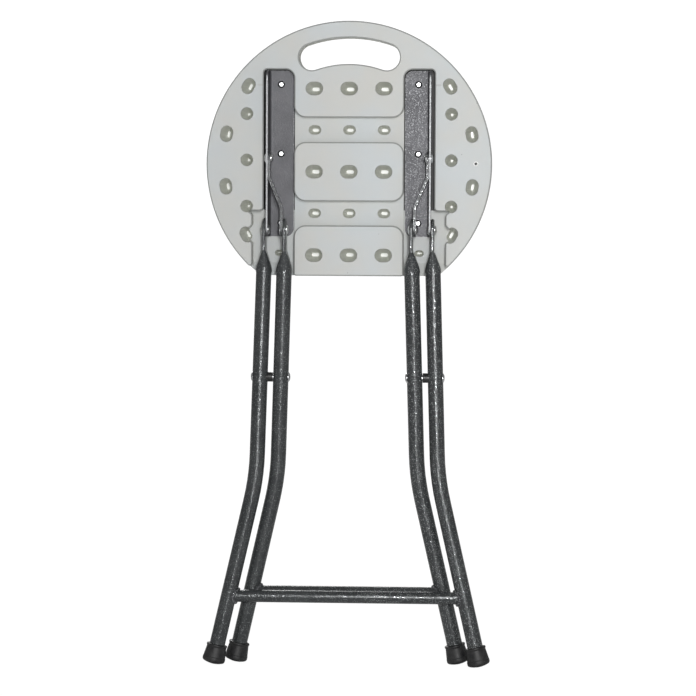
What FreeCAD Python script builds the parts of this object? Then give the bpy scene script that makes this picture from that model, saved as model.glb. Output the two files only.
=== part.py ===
"""Folding stool with a round blow-moulded seat and crossed tubular steel legs.

All sizes are in millimetres. The stool is drawn folded flat and standing on its feet, with the underside
of the seat facing -Y. While it is drawn, a place is given as (x, up, out): x to the right, up from the
middle of the seat, and out of the seat's underside. At the end everything is moved so that the origin
lies at the bottom centre of the whole stool.
"""
import FreeCAD
import Part
import math
import os

Vector = FreeCAD.Vector
X_AXIS = Vector(1, 0, 0)

# Seat panel
SEAT_RADIUS = 147.0
SEAT_THICKNESS = 32.0
HINGE_EDGE_INSET = 32.0
SEAT_WALL = 2.6
SITTING_EDGE_ROUND = 7.0
UNDERSIDE_CHAMFER = 1.2

# Carrying slot, bent along the rim
SLOT_RIM = 17.15
SLOT_WIDTH = 27.0
SLOT_HALF_ANGLE = 19.3
SLOT_EDGE_ROUND = 4.0

# Recesses in the underside: two channels for the brackets and two shallower bands across
CHANNEL_DEPTH = 14.0
CHANNEL_INNER_X = 56.5
CHANNEL_OUTER_X = 88.0
CHANNEL_TOP_INSET = 49.75
CHANNEL_TOP_RADIUS = 9.0
CHANNEL_CORNER_RADIUS = 4.0
MOUTH_ABOVE_PIVOT = 19.3
MOUTH_OUTER_X = 99.5
MOUTH_POCKET = 4.5
MOUTH_WALL_TOP = 4.0
MOUTH_WALL_LENGTH = 11.0
MOUTH_POCKET_LENGTH = 10.0
MOUTH_WALL_RADIUS = 4.0
MOUTH_TIP_RADIUS = 2.5
STEP_INSET = 13.5
STEP_FALL = 5.0
RUN_OUT = 12.0
BAND_DEPTH = 10.0
UPPER_PAD_BOTTOM_UP = 48.0
MIDDLE_PAD_TOP_UP = 22.7
MIDDLE_PAD_BOTTOM_DROP = 38.1
LOWER_PAD_TOP_DROP = 63.0
PAD_CORNER_RADIUS = 12.0

# Tapered wells that fuse the underside to the sitting wall, with their length and width at the mouth
WELL_TAPER = 0.195
PAD_WELL = (18.0, 14.0)
BAND_WELL = (13.0, 9.6)
LOBE_WELL = (13.0, 13.0)
RIM_WELL = (17.0, 13.0)
MOUTH_WELL = (9.5, 6.4)
WELL_COLUMN_PITCH = 35.8
WELL_SLOT_DISTANCE = 25.25
WELL_HINGE_DISTANCE = 21.4
LOBE_WELL_DISTANCE = 17.3
LOBE_WELL_PITCH = 47.5
LOBE_WELL_ABOVE_SHELF = 4.6
RIM_WELL_INSET = 17.6
RIM_WELL_PITCH = 24.1
RIM_WELL_MIDDLE = 0.6
RIM_WELL_MIDDLE_UP = 2.5
RIM_WELL_TURN_SHARE = 0.8
MOUTH_WELL_HINGE_DISTANCE = 23.4
VENT_DIAMETER = 2.6
VENT_INSET = 16.5
VENT_UP = 1.0

# Steel brackets
SHEET = 1.5
BRACKET_BEND_RADIUS = 3.0
BRACKET_SIDE_GAP = 1.0
BRACKET_TOP_GAP = 1.2
BRACKET_BELOW_PIVOT = 7.2
BRACKET_CORNER_RADIUS = 8.0
BRACKET_WIDTH = 27.0
FLANGE_HEIGHT = 25.0
WEB_RIVET_INNER_DISTANCE = 13.4
WEB_RIVET_TOP_DISTANCE = 13.95
WEB_RIVET_BOTTOM_DISTANCE = 13.8
WEB_RIVET_DIAMETER = 4.0
WEB_RIVET_HEAD = 7.2
WEB_HEAD_HEIGHT = 1.6
WEB_HEAD_BORE = 2.4
TAIL_DIAMETER = 6.0
TAIL_LENGTH = 5.0

# Folding linkage
LEG_PIVOT_INSET = 47.7
LINK_PIVOT_SPACING = 73.2
CROSS_DISTANCE = 152.0
LEG_LENGTH = 449.0
PIVOT_DIAMETER = 6.0
PIVOT_HEAD_DIAMETER = 10.0
PIVOT_HEAD_TOP_DIAMETER = 6.2
PIVOT_HEAD_HEIGHT = 2.0
PIVOT_HEAD_RIM = 0.7
RUNNING_GAP = 0.05
SIDE_GAP = 0.35

# Leg tubes
TUBE_DIAMETER = 16.0
TUBE_WALL = 1.5
BLADE_THICKNESS = 3.5
BLADE_CHAMFER = 1.0
BLADE_LENGTH = 22.0
SHOULDER_LENGTH = 23.0
SHOULDER_SECTIONS = 4
UPPER_SPLAY = 1.71
LOWER_SPLAY = 12.9
BEND_DISTANCE = 255.5
BEND_RADIUS = 245.0
LEG_PITCH = 21.5

# Crossbars and their welds
BAR_DIAMETER = 12.7
BAR_WALL = 1.2
OUTER_BAR_ABOVE_SOLE = 70.3
INNER_BAR_ABOVE_SOLE = 73.3
WELD_LEG = 3.0
WELD_RISE = 1.8

# Link bars
LINK_THICKNESS = 2.4
LINK_WIDTH = 14.0
LINK_JOG_START = 20.0
LINK_JOG_END = 51.0
LINK_BEND_RADIUS = 2.5

# Spacers between the crossing tubes
SPACER_DIAMETER = 10.0
CROSS_FLAT_DEPTH = 0.6

# Feet
FOOT_HEIGHT = 21.0
FOOT_TOP_DIAMETER = 20.4
FOOT_SOLE_DIAMETER = 24.0
FOOT_SOLE_THICKNESS = 4.5
FOOT_SOLE_ROUND = 3.5
FOOT_SOLE_DOME = 1.2

# Worked out from the sizes above
HINGE_EDGE_DROP = SEAT_RADIUS - HINGE_EDGE_INSET
STEP_DROP = HINGE_EDGE_DROP - STEP_INSET
LEG_PIVOT_DROP = HINGE_EDGE_DROP - LEG_PIVOT_INSET
SLOT_ARC_RADIUS = SEAT_RADIUS - SLOT_RIM - SLOT_WIDTH / 2
CHANNEL_TOP_UP = SEAT_RADIUS - CHANNEL_TOP_INSET
MOUTH_SHELF_DROP = LEG_PIVOT_DROP - MOUTH_ABOVE_PIVOT
MOUTH_END_DROP = MOUTH_SHELF_DROP + MOUTH_WALL_LENGTH + MOUTH_POCKET_LENGTH + 3 * MOUTH_WALL_TOP
BRACKET_INNER_X = CHANNEL_INNER_X + BRACKET_SIDE_GAP
BRACKET_TOP_UP = CHANNEL_TOP_UP - BRACKET_TOP_GAP
BRACKET_BOTTOM_DROP = LEG_PIVOT_DROP + BRACKET_BELOW_PIVOT
FLANGE_OUTER_X = BRACKET_INNER_X + BRACKET_WIDTH
WEB_RIVET_X = BRACKET_INNER_X + WEB_RIVET_INNER_DISTANCE
OUTER_BAR_DISTANCE = LEG_LENGTH - OUTER_BAR_ABOVE_SOLE
INNER_BAR_DISTANCE = LEG_LENGTH - INNER_BAR_ABOVE_SOLE
OUTER_BLADE_X = FLANGE_OUTER_X + SIDE_GAP + BLADE_THICKNESS / 2
INNER_BLADE_X = OUTER_BLADE_X - LEG_PITCH
LINK_UPPER_X = FLANGE_OUTER_X - SHEET - SIDE_GAP - LINK_THICKNESS / 2
LINK_LOWER_X = INNER_BLADE_X + BLADE_THICKNESS / 2 + SIDE_GAP + LINK_THICKNESS / 2
CROSS_FLAT = TUBE_DIAMETER / 2 - CROSS_FLAT_DEPTH
BAR_OFFSET = (TUBE_DIAMETER + BAR_DIAMETER) / 2 + SIDE_GAP
HALF_SPREAD = math.asin(BAR_OFFSET / 2 / (OUTER_BAR_DISTANCE - CROSS_DISTANCE))
PIVOT_RISE = 2 * CROSS_DISTANCE * math.sin(HALF_SPREAD)
LEG_PIVOT = (-LEG_PIVOT_DROP, 0.0)
LINK_PIVOT = (LINK_PIVOT_SPACING - LEG_PIVOT_DROP, PIVOT_RISE / 2)
INNER_PIVOT = (-LEG_PIVOT_DROP, PIVOT_RISE)
LINK_LENGTH = math.hypot(LINK_PIVOT_SPACING, PIVOT_RISE / 2)
LINK_TILT = math.degrees(math.atan2(PIVOT_RISE / 2, LINK_PIVOT_SPACING))
LEG_TILT = math.degrees(HALF_SPREAD)


def place(x, up, out):
    """Turn a place on the seat into the drawing's own axes."""
    return Vector(x, -out, up)


def rounded_outline(corners):
    """Closed wire in the underside's plane. Each corner is (x, up, radius)."""
    points = [place(x, up, 0) for x, up, _ in corners]
    edges = []
    starts, ends, middles = [], [], []
    for index, corner in enumerate(corners):
        here = points[index]
        back = (points[index - 1] - here).normalize()
        ahead = (points[(index + 1) % len(points)] - here).normalize()
        radius = corner[2]
        if radius == 0:
            starts.append(here)
            ends.append(here)
            middles.append(None)
            continue
        half = back.getAngle(ahead) / 2
        reach = radius / math.tan(half)
        bisector = (back + ahead).normalize()
        starts.append(here + back * reach)
        ends.append(here + ahead * reach)
        middles.append(here + bisector * (radius / math.sin(half) - radius))
    for index in range(len(corners)):
        if middles[index] is not None:
            edges.append(Part.Arc(starts[index], middles[index], ends[index]).toShape())
        following = (index + 1) % len(corners)
        if (starts[following] - ends[index]).Length > 1e-6:
            edges.append(Part.LineSegment(ends[index], starts[following]).toShape())
    return Part.Wire(edges)


def prism(outline, low, high):
    """Solid that fills a plan outline between two depths, both measured out of the underside."""
    face = Part.Face(outline)
    face.translate(place(0, 0, low))
    return face.extrude(place(0, 0, high - low))


def grown(outline, amount):
    """The same outline, moved outwards by an amount."""
    if amount == 0:
        return outline
    return outline.makeOffset2D(amount)


def mirrored(shape):
    """The same shape on the left side of the stool."""
    return shape.mirror(Vector(0, 0, 0), X_AXIS)


def both_sides(name, shape):
    """A right-hand piece and its mirror image, as two named nodes."""
    return {name + "_right": shape, name + "_left": mirrored(shape)}


def seat_outline():
    """Round rim, cut straight along the hinge edge."""
    corner_x = math.sqrt(SEAT_RADIUS**2 - HINGE_EDGE_DROP**2)
    left = place(-corner_x, -HINGE_EDGE_DROP, 0)
    right = place(corner_x, -HINGE_EDGE_DROP, 0)
    rim = Part.Arc(right, place(0, SEAT_RADIUS, 0), left).toShape()
    return Part.Wire([rim, Part.LineSegment(left, right).toShape()])


def slot_outline():
    """Bean-shaped slot whose middle line follows the rim."""
    outer = SLOT_ARC_RADIUS + SLOT_WIDTH / 2
    inner = SLOT_ARC_RADIUS - SLOT_WIDTH / 2
    end = math.radians(SLOT_HALF_ANGLE)

    def on_arc(radius, angle):
        return place(radius * math.sin(angle), radius * math.cos(angle), 0)

    tip = end + SLOT_WIDTH / 2 / SLOT_ARC_RADIUS
    edges = [
        Part.Arc(on_arc(outer, -end), on_arc(outer, 0), on_arc(outer, end)),
        Part.Arc(on_arc(outer, end), on_arc(SLOT_ARC_RADIUS, tip), on_arc(inner, end)),
        Part.Arc(on_arc(inner, end), on_arc(inner, 0), on_arc(inner, -end)),
        Part.Arc(on_arc(inner, -end), on_arc(SLOT_ARC_RADIUS, -tip), on_arc(outer, -end)),
    ]
    return Part.Wire([edge.toShape() for edge in edges])


def channel_outline():
    """Right-hand bracket channel. Its mouth widens for the leg and opens into two wells of the rim."""
    beyond = HINGE_EDGE_DROP + RUN_OUT
    pocket_x = MOUTH_OUTER_X + MOUTH_POCKET
    wall_top = -MOUTH_SHELF_DROP - MOUTH_WALL_TOP
    wall_bottom = wall_top - MOUTH_WALL_LENGTH
    pocket_top = wall_bottom - MOUTH_WALL_TOP
    return rounded_outline([
        (CHANNEL_INNER_X, -beyond, 0),
        (CHANNEL_INNER_X, CHANNEL_TOP_UP, CHANNEL_TOP_RADIUS),
        (CHANNEL_OUTER_X, CHANNEL_TOP_UP, CHANNEL_CORNER_RADIUS),
        (CHANNEL_OUTER_X, -MOUTH_SHELF_DROP, CHANNEL_CORNER_RADIUS),
        (pocket_x, -MOUTH_SHELF_DROP, 0),
        (MOUTH_OUTER_X, wall_top, MOUTH_WALL_RADIUS),
        (MOUTH_OUTER_X, wall_bottom, MOUTH_WALL_RADIUS),
        (pocket_x, pocket_top, 0),
        (pocket_x, MOUTH_WALL_TOP - MOUTH_END_DROP, 0),
        (MOUTH_OUTER_X, -MOUTH_END_DROP, MOUTH_WALL_RADIUS),
        (MOUTH_OUTER_X, -beyond, 0),
    ])


def channel_cutter(grow):
    """Channel down to its flat floor. Growing it by the wall leaves the wall around it."""
    return prism(grown(channel_outline(), grow), -CHANNEL_DEPTH - grow, RUN_OUT)


def step_cutter(grow):
    """Sloped step below the channel's floor, at its mouth."""
    edge = HINGE_EDGE_DROP + RUN_OUT
    slope = STEP_FALL / (HINGE_EDGE_DROP - STEP_DROP)
    deep = CHANNEL_DEPTH + grow + slope * (edge - STEP_DROP)
    section = Part.makePolygon([
        place(CHANNEL_INNER_X - grow, -STEP_DROP, -CHANNEL_DEPTH - grow),
        place(CHANNEL_INNER_X - grow, -edge, -CHANNEL_DEPTH - grow),
        place(CHANNEL_INNER_X - grow, -edge, -deep),
        place(CHANNEL_INNER_X - grow, -STEP_DROP, -CHANNEL_DEPTH - grow),
    ])
    width = MOUTH_OUTER_X - CHANNEL_INNER_X + 2 * grow
    return Part.Face(section).extrude(place(width, 0, 0))


def pad_outline(low, high):
    """Raised pad between the channels."""
    radius = PAD_CORNER_RADIUS
    return rounded_outline([
        (-CHANNEL_INNER_X, low, radius),
        (CHANNEL_INNER_X, low, radius),
        (CHANNEL_INNER_X, high, radius),
        (-CHANNEL_INNER_X, high, radius),
    ])


def band_cutter(grow):
    """The two bands across the seat: one shallow recess from which the raised pads are left standing."""
    margin = PAD_CORNER_RADIUS
    overlap = SEAT_WALL / 4
    width = CHANNEL_INNER_X + overlap
    height = UPPER_PAD_BOTTOM_UP + LOWER_PAD_TOP_DROP + 2 * margin
    block = Part.makeBox(2 * width, BAND_DEPTH + grow + RUN_OUT, height)
    block.translate(Vector(-width, -RUN_OUT, -LOWER_PAD_TOP_DROP - margin))
    pads = [
        pad_outline(UPPER_PAD_BOTTOM_UP, UPPER_PAD_BOTTOM_UP + 3 * margin),
        pad_outline(-MIDDLE_PAD_BOTTOM_DROP, MIDDLE_PAD_TOP_UP),
        pad_outline(-LOWER_PAD_TOP_DROP - 3 * margin, -LOWER_PAD_TOP_DROP),
    ]
    return block.cut([prism(grown(pad, -grow), -BAND_DEPTH - grow - 1, RUN_OUT + 1) for pad in pads])


def well(x, up, size, turn, level, grow):
    """Tapered oval well from a surface at the given depth down to the sitting wall.

    The flat at its bottom is fused to the sitting wall, so the well's sides narrow by the same taper
    from every level. Growing it by the wall and running it right through leaves its own wall standing.
    """
    length, width = size
    floor = SEAT_THICKNESS - 2 * SEAT_WALL
    bottom = -SEAT_THICKNESS if grow else -floor
    rise = -level - bottom
    mouth_radius = width / 2 + grow
    bottom_radius = mouth_radius - WELL_TAPER * rise
    half_run = (length - width) / 2
    outwards = place(0, 0, 1)
    base = place(0, 0, bottom)
    if half_run == 0:
        cutter = Part.makeCone(bottom_radius, mouth_radius, rise, base, outwards)
    else:
        foot = base + place(0, bottom_radius, 0)
        lip = base + place(0, mouth_radius, rise)
        half_section = Part.Face(Part.makePolygon([base, foot, lip, base + outwards * rise, base]))
        ends = []
        for side in (-1, 1):
            cone = half_section.revolve(base, outwards * -side, 180)
            cone.translate(place(half_run * side, 0, 0))
            ends.append(cone)
        whole = [
            base + place(-half_run, bottom_radius, 0),
            base + place(-half_run, -bottom_radius, 0),
            base + place(-half_run, -mouth_radius, rise),
            base + place(-half_run, mouth_radius, rise),
        ]
        middle = Part.Face(Part.makePolygon(whole + whole[:1])).extrude(place(2 * half_run, 0, 0))
        cutter = middle.fuse(ends)
    cutter.rotate(Vector(0, 0, 0), outwards, turn)
    cutter.translate(place(x, up, 0))
    return cutter


def middle_wells(grow):
    """Three columns of wells down the middle: in the three pads and in the two bands between them."""
    slot_inner = SLOT_ARC_RADIUS - SLOT_WIDTH / 2
    pad_rows = (
        slot_inner - WELL_SLOT_DISTANCE,
        (MIDDLE_PAD_TOP_UP - MIDDLE_PAD_BOTTOM_DROP) / 2,
        WELL_HINGE_DISTANCE - HINGE_EDGE_DROP,
    )
    band_rows = (
        (UPPER_PAD_BOTTOM_UP + MIDDLE_PAD_TOP_UP) / 2,
        -(MIDDLE_PAD_BOTTOM_DROP + LOWER_PAD_TOP_DROP) / 2,
    )
    wells = []
    for column in (-1, 0, 1):
        x = column * WELL_COLUMN_PITCH
        wells += [well(x, up, PAD_WELL, 0, 0, grow) for up in pad_rows]
        wells += [well(x, up, BAND_WELL, 0, BAND_DEPTH, grow) for up in band_rows]
    return wells


def side_wells(side, grow):
    """Wells of one side: a column beside the channel, an arc along the rim and one in the channel's mouth."""
    wells = []
    column_x = side * (CHANNEL_OUTER_X + LOBE_WELL_DISTANCE)
    for step in (2, 1, 0):
        up = LOBE_WELL_ABOVE_SHELF - MOUTH_SHELF_DROP + step * LOBE_WELL_PITCH
        wells.append(well(column_x, up, LOBE_WELL, 0, 0, grow))
    radius = SEAT_RADIUS - RIM_WELL_INSET
    for step in (1.5, 0.5, -0.5, -1.5):
        angle = RIM_WELL_MIDDLE + step * RIM_WELL_PITCH
        x = side * radius * math.cos(math.radians(angle))
        up = RIM_WELL_MIDDLE_UP + radius * math.sin(math.radians(angle))
        turn = side * (RIM_WELL_TURN_SHARE * angle - 90)
        wells.append(well(x, up, RIM_WELL, turn, 0, grow))
    mouth_x = side * (CHANNEL_INNER_X + CHANNEL_OUTER_X) / 2
    mouth_up = MOUTH_WELL_HINGE_DISTANCE - HINGE_EDGE_DROP
    wells.append(well(mouth_x, mouth_up, MOUTH_WELL, 0, CHANNEL_DEPTH, grow))
    return wells


def all_wells(grow):
    """Every well of the seat."""
    return middle_wells(grow) + side_wells(-1, grow) + side_wells(1, grow)


def edges_at_depth(shape, depth):
    """Edges that lie wholly at one depth."""
    chosen = []
    for edge in shape.Edges:
        box = edge.BoundBox
        if abs(box.YMin + depth) < 1e-3 and abs(box.YMax + depth) < 1e-3:
            chosen.append(edge)
    return chosen


def seat_cavity():
    """Space between the sitting wall and the underside's wall."""
    cavity = prism(grown(seat_outline(), -SEAT_WALL), SEAT_WALL - SEAT_THICKNESS, -SEAT_WALL)
    sitting_edges = edges_at_depth(cavity, SEAT_WALL - SEAT_THICKNESS)
    cavity = cavity.makeChamfer(SITTING_EDGE_ROUND - SEAT_WALL, sitting_edges)
    channel = channel_cutter(SEAT_WALL).fuse(step_cutter(SEAT_WALL))
    slot = prism(grown(slot_outline(), SEAT_WALL), -SEAT_THICKNESS, 0)
    walls = [channel, mirrored(channel), band_cutter(SEAT_WALL), slot]
    return cavity.cut(walls + all_wells(SEAT_WALL))


def is_mouth_tip(edge):
    """Whether an edge is an upright corner where a channel's side wall meets the rim or the hinge edge."""
    box = edge.BoundBox
    upright = box.XLength < 1e-3 and box.ZLength < 1e-3 and box.YLength > CHANNEL_DEPTH / 2
    return upright and box.YMin < 1e-3 and box.ZMax < -MOUTH_END_DROP


def seat_shell():
    """Hollow blow-moulded panel with a carrying slot, bracket channels, pads, wells and a vent hole."""
    body = prism(seat_outline(), -SEAT_THICKNESS, 0)
    body = body.makeFillet(SITTING_EDGE_ROUND, edges_at_depth(body, -SEAT_THICKNESS))
    body = body.cut(prism(slot_outline(), -SEAT_THICKNESS - 1, 1))
    slot_reach = SLOT_ARC_RADIUS / 2
    slot_edges = [
        edge for edge in edges_at_depth(body, -SEAT_THICKNESS) if edge.BoundBox.XMax < slot_reach
        and edge.BoundBox.XMin > -slot_reach
    ]
    body = body.makeFillet(SLOT_EDGE_ROUND, slot_edges)
    channel = channel_cutter(0)
    body = body.cut([channel, mirrored(channel), band_cutter(0)])
    tips = [edge for edge in body.Edges if is_mouth_tip(edge)]
    body = body.makeFillet(MOUTH_TIP_RADIUS, tips)
    body = body.makeChamfer(UNDERSIDE_CHAMFER, edges_at_depth(body, 0))
    step = step_cutter(0)
    vent_place = place(SEAT_RADIUS - VENT_INSET, VENT_UP, 1)
    vent = Part.makeCylinder(VENT_DIAMETER / 2, SEAT_WALL + 2, vent_place, place(0, 0, -1))
    rivet_holes = [web_rivet_shank(up) for up in web_rivet_ups()]
    rivet_holes += [mirrored(hole) for hole in rivet_holes]
    return body.cut([seat_cavity(), vent, step, mirrored(step)] + all_wells(0) + rivet_holes)


def web_rivet_ups():
    """Heights of the three rivets that hold one bracket."""
    top = BRACKET_TOP_UP - WEB_RIVET_TOP_DISTANCE
    bottom = WEB_RIVET_BOTTOM_DISTANCE - BRACKET_BOTTOM_DROP
    return [top, (top + bottom) / 2, bottom]


def web_rivet_shank(up):
    """Shank from the bracket's web through the channel floor."""
    top = SHEET - CHANNEL_DEPTH
    length = SHEET + SEAT_WALL
    return Part.makeCylinder(WEB_RIVET_DIAMETER / 2, length, place(WEB_RIVET_X, up, top), place(0, 0, -1))


def turned(profile, base, direction):
    """Solid of revolution. The profile is a closed list of (radius, height) points along the direction."""
    points = [Vector(radius, 0, height) for radius, height in profile]
    face = Part.Face(Part.makePolygon(points + points[:1]))
    solid = face.revolve(Vector(0, 0, 0), Vector(0, 0, 1), 360)
    solid.Placement = FreeCAD.Placement(base, FreeCAD.Rotation(Vector(0, 0, 1), direction))
    return solid


def rivet_end(x, headed, beyond):
    """Points of one end of a rivet, from its axis out to the shank. A head rises in the direction beyond."""
    shank = PIVOT_DIAMETER / 2
    if not headed:
        return [(0, x), (shank, x)]
    radius = PIVOT_HEAD_DIAMETER / 2
    top = x + beyond * PIVOT_HEAD_HEIGHT
    return [
        (0, top),
        (PIVOT_HEAD_TOP_DIAMETER / 2, top),
        (radius, x + beyond * PIVOT_HEAD_RIM),
        (radius, x),
        (shank, x),
    ]


def rivet(pivot, low_x, high_x, low_head, high_head):
    """Rivet along X through a pivot, with a head beyond either end of its shank."""
    low_end = rivet_end(low_x, low_head, -1)
    high_end = rivet_end(high_x, high_head, 1)
    return turned(low_end + high_end[::-1], place(0, pivot[0], pivot[1]), X_AXIS)


def web_rivets():
    """Three blind rivets with a hollow head on the web and a swollen tail inside the panel."""
    radius = WEB_RIVET_HEAD / 2
    shank = WEB_RIVET_DIAMETER / 2
    tail_radius = TAIL_DIAMETER / 2
    bore = WEB_HEAD_BORE / 2
    tail = -SHEET - SEAT_WALL
    profile = [
        (0, tail - TAIL_LENGTH),
        (tail_radius, tail - TAIL_LENGTH / 2),
        (tail_radius, tail),
        (shank, tail),
        (shank, 0),
        (radius, 0),
        (radius, WEB_HEAD_HEIGHT / 2),
        ((radius + bore) / 2, WEB_HEAD_HEIGHT),
        (bore, WEB_HEAD_HEIGHT),
        (bore, 0),
        (0, 0),
    ]
    web_top = SHEET - CHANNEL_DEPTH
    return Part.makeCompound([
        turned(profile, place(WEB_RIVET_X, up, web_top), place(0, 0, 1)) for up in web_rivet_ups()
    ])


def pivot_hole(pivot, diameter, low_x, high_x):
    """Cylinder across the seat at a pivot, used for shanks and their holes."""
    return Part.makeCylinder(diameter / 2, high_x - low_x, place(low_x, pivot[0], pivot[1]), X_AXIS)


def bracket():
    """Bent steel angle: a web riveted to the channel floor and a flange that carries the pivots."""
    floor = -CHANNEL_DEPTH
    web_top = floor + SHEET
    flange_inner_x = FLANGE_OUTER_X - SHEET
    section = Part.makePolygon([
        place(BRACKET_INNER_X, 0, floor),
        place(FLANGE_OUTER_X, 0, floor),
        place(FLANGE_OUTER_X, 0, floor + FLANGE_HEIGHT),
        place(flange_inner_x, 0, floor + FLANGE_HEIGHT),
        place(flange_inner_x, 0, web_top),
        place(BRACKET_INNER_X, 0, web_top),
        place(BRACKET_INNER_X, 0, floor),
    ])
    angle = Part.Face(section).extrude(place(0, BRACKET_TOP_UP + BRACKET_BOTTOM_DROP, 0))
    angle.translate(place(0, -BRACKET_BOTTOM_DROP, 0))
    angle = angle.makeFillet(BRACKET_BEND_RADIUS, edges_near(angle, flange_inner_x, None, web_top))
    angle = angle.makeFillet(BRACKET_BEND_RADIUS + SHEET, edges_near(angle, FLANGE_OUTER_X, None, floor))
    corners = []
    for up in (BRACKET_TOP_UP, -BRACKET_BOTTOM_DROP):
        corners += edges_near(angle, BRACKET_INNER_X, up, None)
        corners += edges_near(angle, None, up, floor + FLANGE_HEIGHT)
    angle = angle.makeFillet(BRACKET_CORNER_RADIUS, corners)
    holes = [web_rivet_shank(up) for up in web_rivet_ups()]
    for pivot in (LEG_PIVOT, LINK_PIVOT):
        holes.append(pivot_hole(pivot, PIVOT_DIAMETER, flange_inner_x - 1, FLANGE_OUTER_X + 1))
    return angle.cut(holes)


def edges_near(shape, x, up, out):
    """Straight edges that lie on two given planes. The free direction is given as None."""
    chosen = []
    for edge in shape.Edges:
        box = edge.BoundBox
        spans = ((x, box.XMin, box.XMax), (up, box.ZMin, box.ZMax), (out, -box.YMax, -box.YMin))
        if all(at is None or (abs(low - at) < 1e-3 and abs(high - at) < 1e-3) for at, low, high in spans):
            if any(at is None and high - low > 1e-3 for at, low, high in spans):
                chosen.append(edge)
    return chosen


def leg_pivot_rivet():
    """Rivet on which an outer leg turns: tight in the flange, running in the leg's blade."""
    head_x = OUTER_BLADE_X + BLADE_THICKNESS / 2 + SIDE_GAP
    return rivet(LEG_PIVOT, FLANGE_OUTER_X - SHEET, head_x, True, True)


def link_pivot_rivet():
    """Rivet on which a link turns: tight in the flange, running in the link."""
    head_x = LINK_UPPER_X - LINK_THICKNESS / 2 - SIDE_GAP
    return rivet(LINK_PIVOT, head_x, FLANGE_OUTER_X, True, True)


def leg_line(blade_x):
    """Top of the round tube, knee corner and sole centre of a leg that hangs from the origin."""
    slope = math.tan(math.radians(UPPER_SPLAY))
    top = place(blade_x + slope * SHOULDER_LENGTH, -BLADE_LENGTH - SHOULDER_LENGTH, 0)
    knee = place(blade_x + slope * (BEND_DISTANCE - BLADE_LENGTH), -BEND_DISTANCE, 0)
    lower = LEG_LENGTH - BEND_DISTANCE
    sole = knee + place(lower * math.tan(math.radians(LOWER_SPLAY)), -lower, 0)
    return top, knee, sole


def bent_rod(radius, top, knee, end):
    """Round rod along two straight runs joined by a bend of the leg's radius."""
    first = (knee - top).normalize()
    second = (end - knee).normalize()
    turn = first.getAngle(second)
    reach = BEND_RADIUS * math.tan(turn / 2)
    bend_start = knee - first * reach
    bend_end = knee + second * reach
    inwards = (second - first * first.dot(second)).normalize()
    centre = bend_start + inwards * BEND_RADIUS
    disc = Part.Face(Part.Wire(Part.makeCircle(radius, bend_start, first)))
    bend = disc.revolve(centre, first.cross(inwards), math.degrees(turn))
    upper = Part.makeCylinder(radius, (bend_start - top).Length, top, first)
    lower = Part.makeCylinder(radius, (end - bend_end).Length, bend_end, second)
    return upper.fuse([bend, lower])


def tube_section(half_thickness, radius, x, drop):
    """Section across the tube pressed to a half thickness, with its outline's length unchanged."""
    flat = math.pi * (radius - half_thickness) / 2
    seam = 0.0
    if flat < radius * 0.1:
        seam = math.radians(6)
        flat = radius * math.sin(seam)
        half_thickness = radius
    side_x = half_thickness * math.cos(seam)
    bulge = half_thickness if seam else side_x
    reach = radius if seam else flat + half_thickness
    corners = [(side_x, -flat), (side_x, flat), (-side_x, flat), (-side_x, -flat)]
    right_low, right_high, left_high, left_low = [place(x + across, -drop, out) for across, out in corners]
    if seam:
        right = Part.Arc(right_low, place(x + bulge, -drop, 0), right_high)
        left = Part.Arc(left_high, place(x - bulge, -drop, 0), left_low)
    else:
        right = Part.LineSegment(right_low, right_high)
        left = Part.LineSegment(left_high, left_low)
    front = Part.Arc(right_high, place(x, -drop, reach), left_high)
    rear = Part.Arc(left_low, place(x, -drop, -reach), right_low)
    return Part.Wire([right.toShape(), front.toShape(), left.toShape(), rear.toShape()])


def flattened_end(blade_x):
    """Flat blade round the pivot and the shoulder that swells from it to the full tube."""
    half = BLADE_THICKNESS / 2
    radius = TUBE_DIAMETER / 2
    half_width = half + math.pi * (radius - half) / 2
    low_x = blade_x - half
    tip = Part.makeCylinder(half_width, BLADE_THICKNESS, Vector(low_x, 0, 0), X_AXIS)
    corner = Vector(low_x, -half_width, -BLADE_LENGTH)
    plate = Part.makeBox(BLADE_THICKNESS, 2 * half_width, BLADE_LENGTH, corner)
    blade = tip.fuse(plate).removeSplitter()
    rims = []
    for edge in blade.Edges:
        box = edge.BoundBox
        if box.XLength < 1e-3 and box.ZMax > 1 - BLADE_LENGTH:
            rims.append(edge)
    blade = blade.makeChamfer(BLADE_CHAMFER, rims)
    sections = []
    slope = math.tan(math.radians(UPPER_SPLAY))
    for step in range(SHOULDER_SECTIONS + 1):
        share = step / SHOULDER_SECTIONS
        pressed = half + (radius - half) * math.sin(share * math.pi / 2)
        drop = BLADE_LENGTH + SHOULDER_LENGTH * share
        x = blade_x + slope * (drop - BLADE_LENGTH)
        section = tube_section(pressed, radius, x, drop)
        section.rotate(place(x, -drop, 0), place(0, 0, 1), UPPER_SPLAY * share)
        sections.append(section)
    shoulder = Part.makeLoft(sections, True, False)
    return blade.fuse(shoulder)


def leg_body(blade_x):
    """Outside of a leg, not yet hollowed or drilled."""
    top, knee, sole = leg_line(blade_x)
    end = sole + (knee - sole).normalize() * FOOT_SOLE_THICKNESS
    return flattened_end(blade_x).fuse(bent_rod(TUBE_DIAMETER / 2, top, knee, end))


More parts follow.
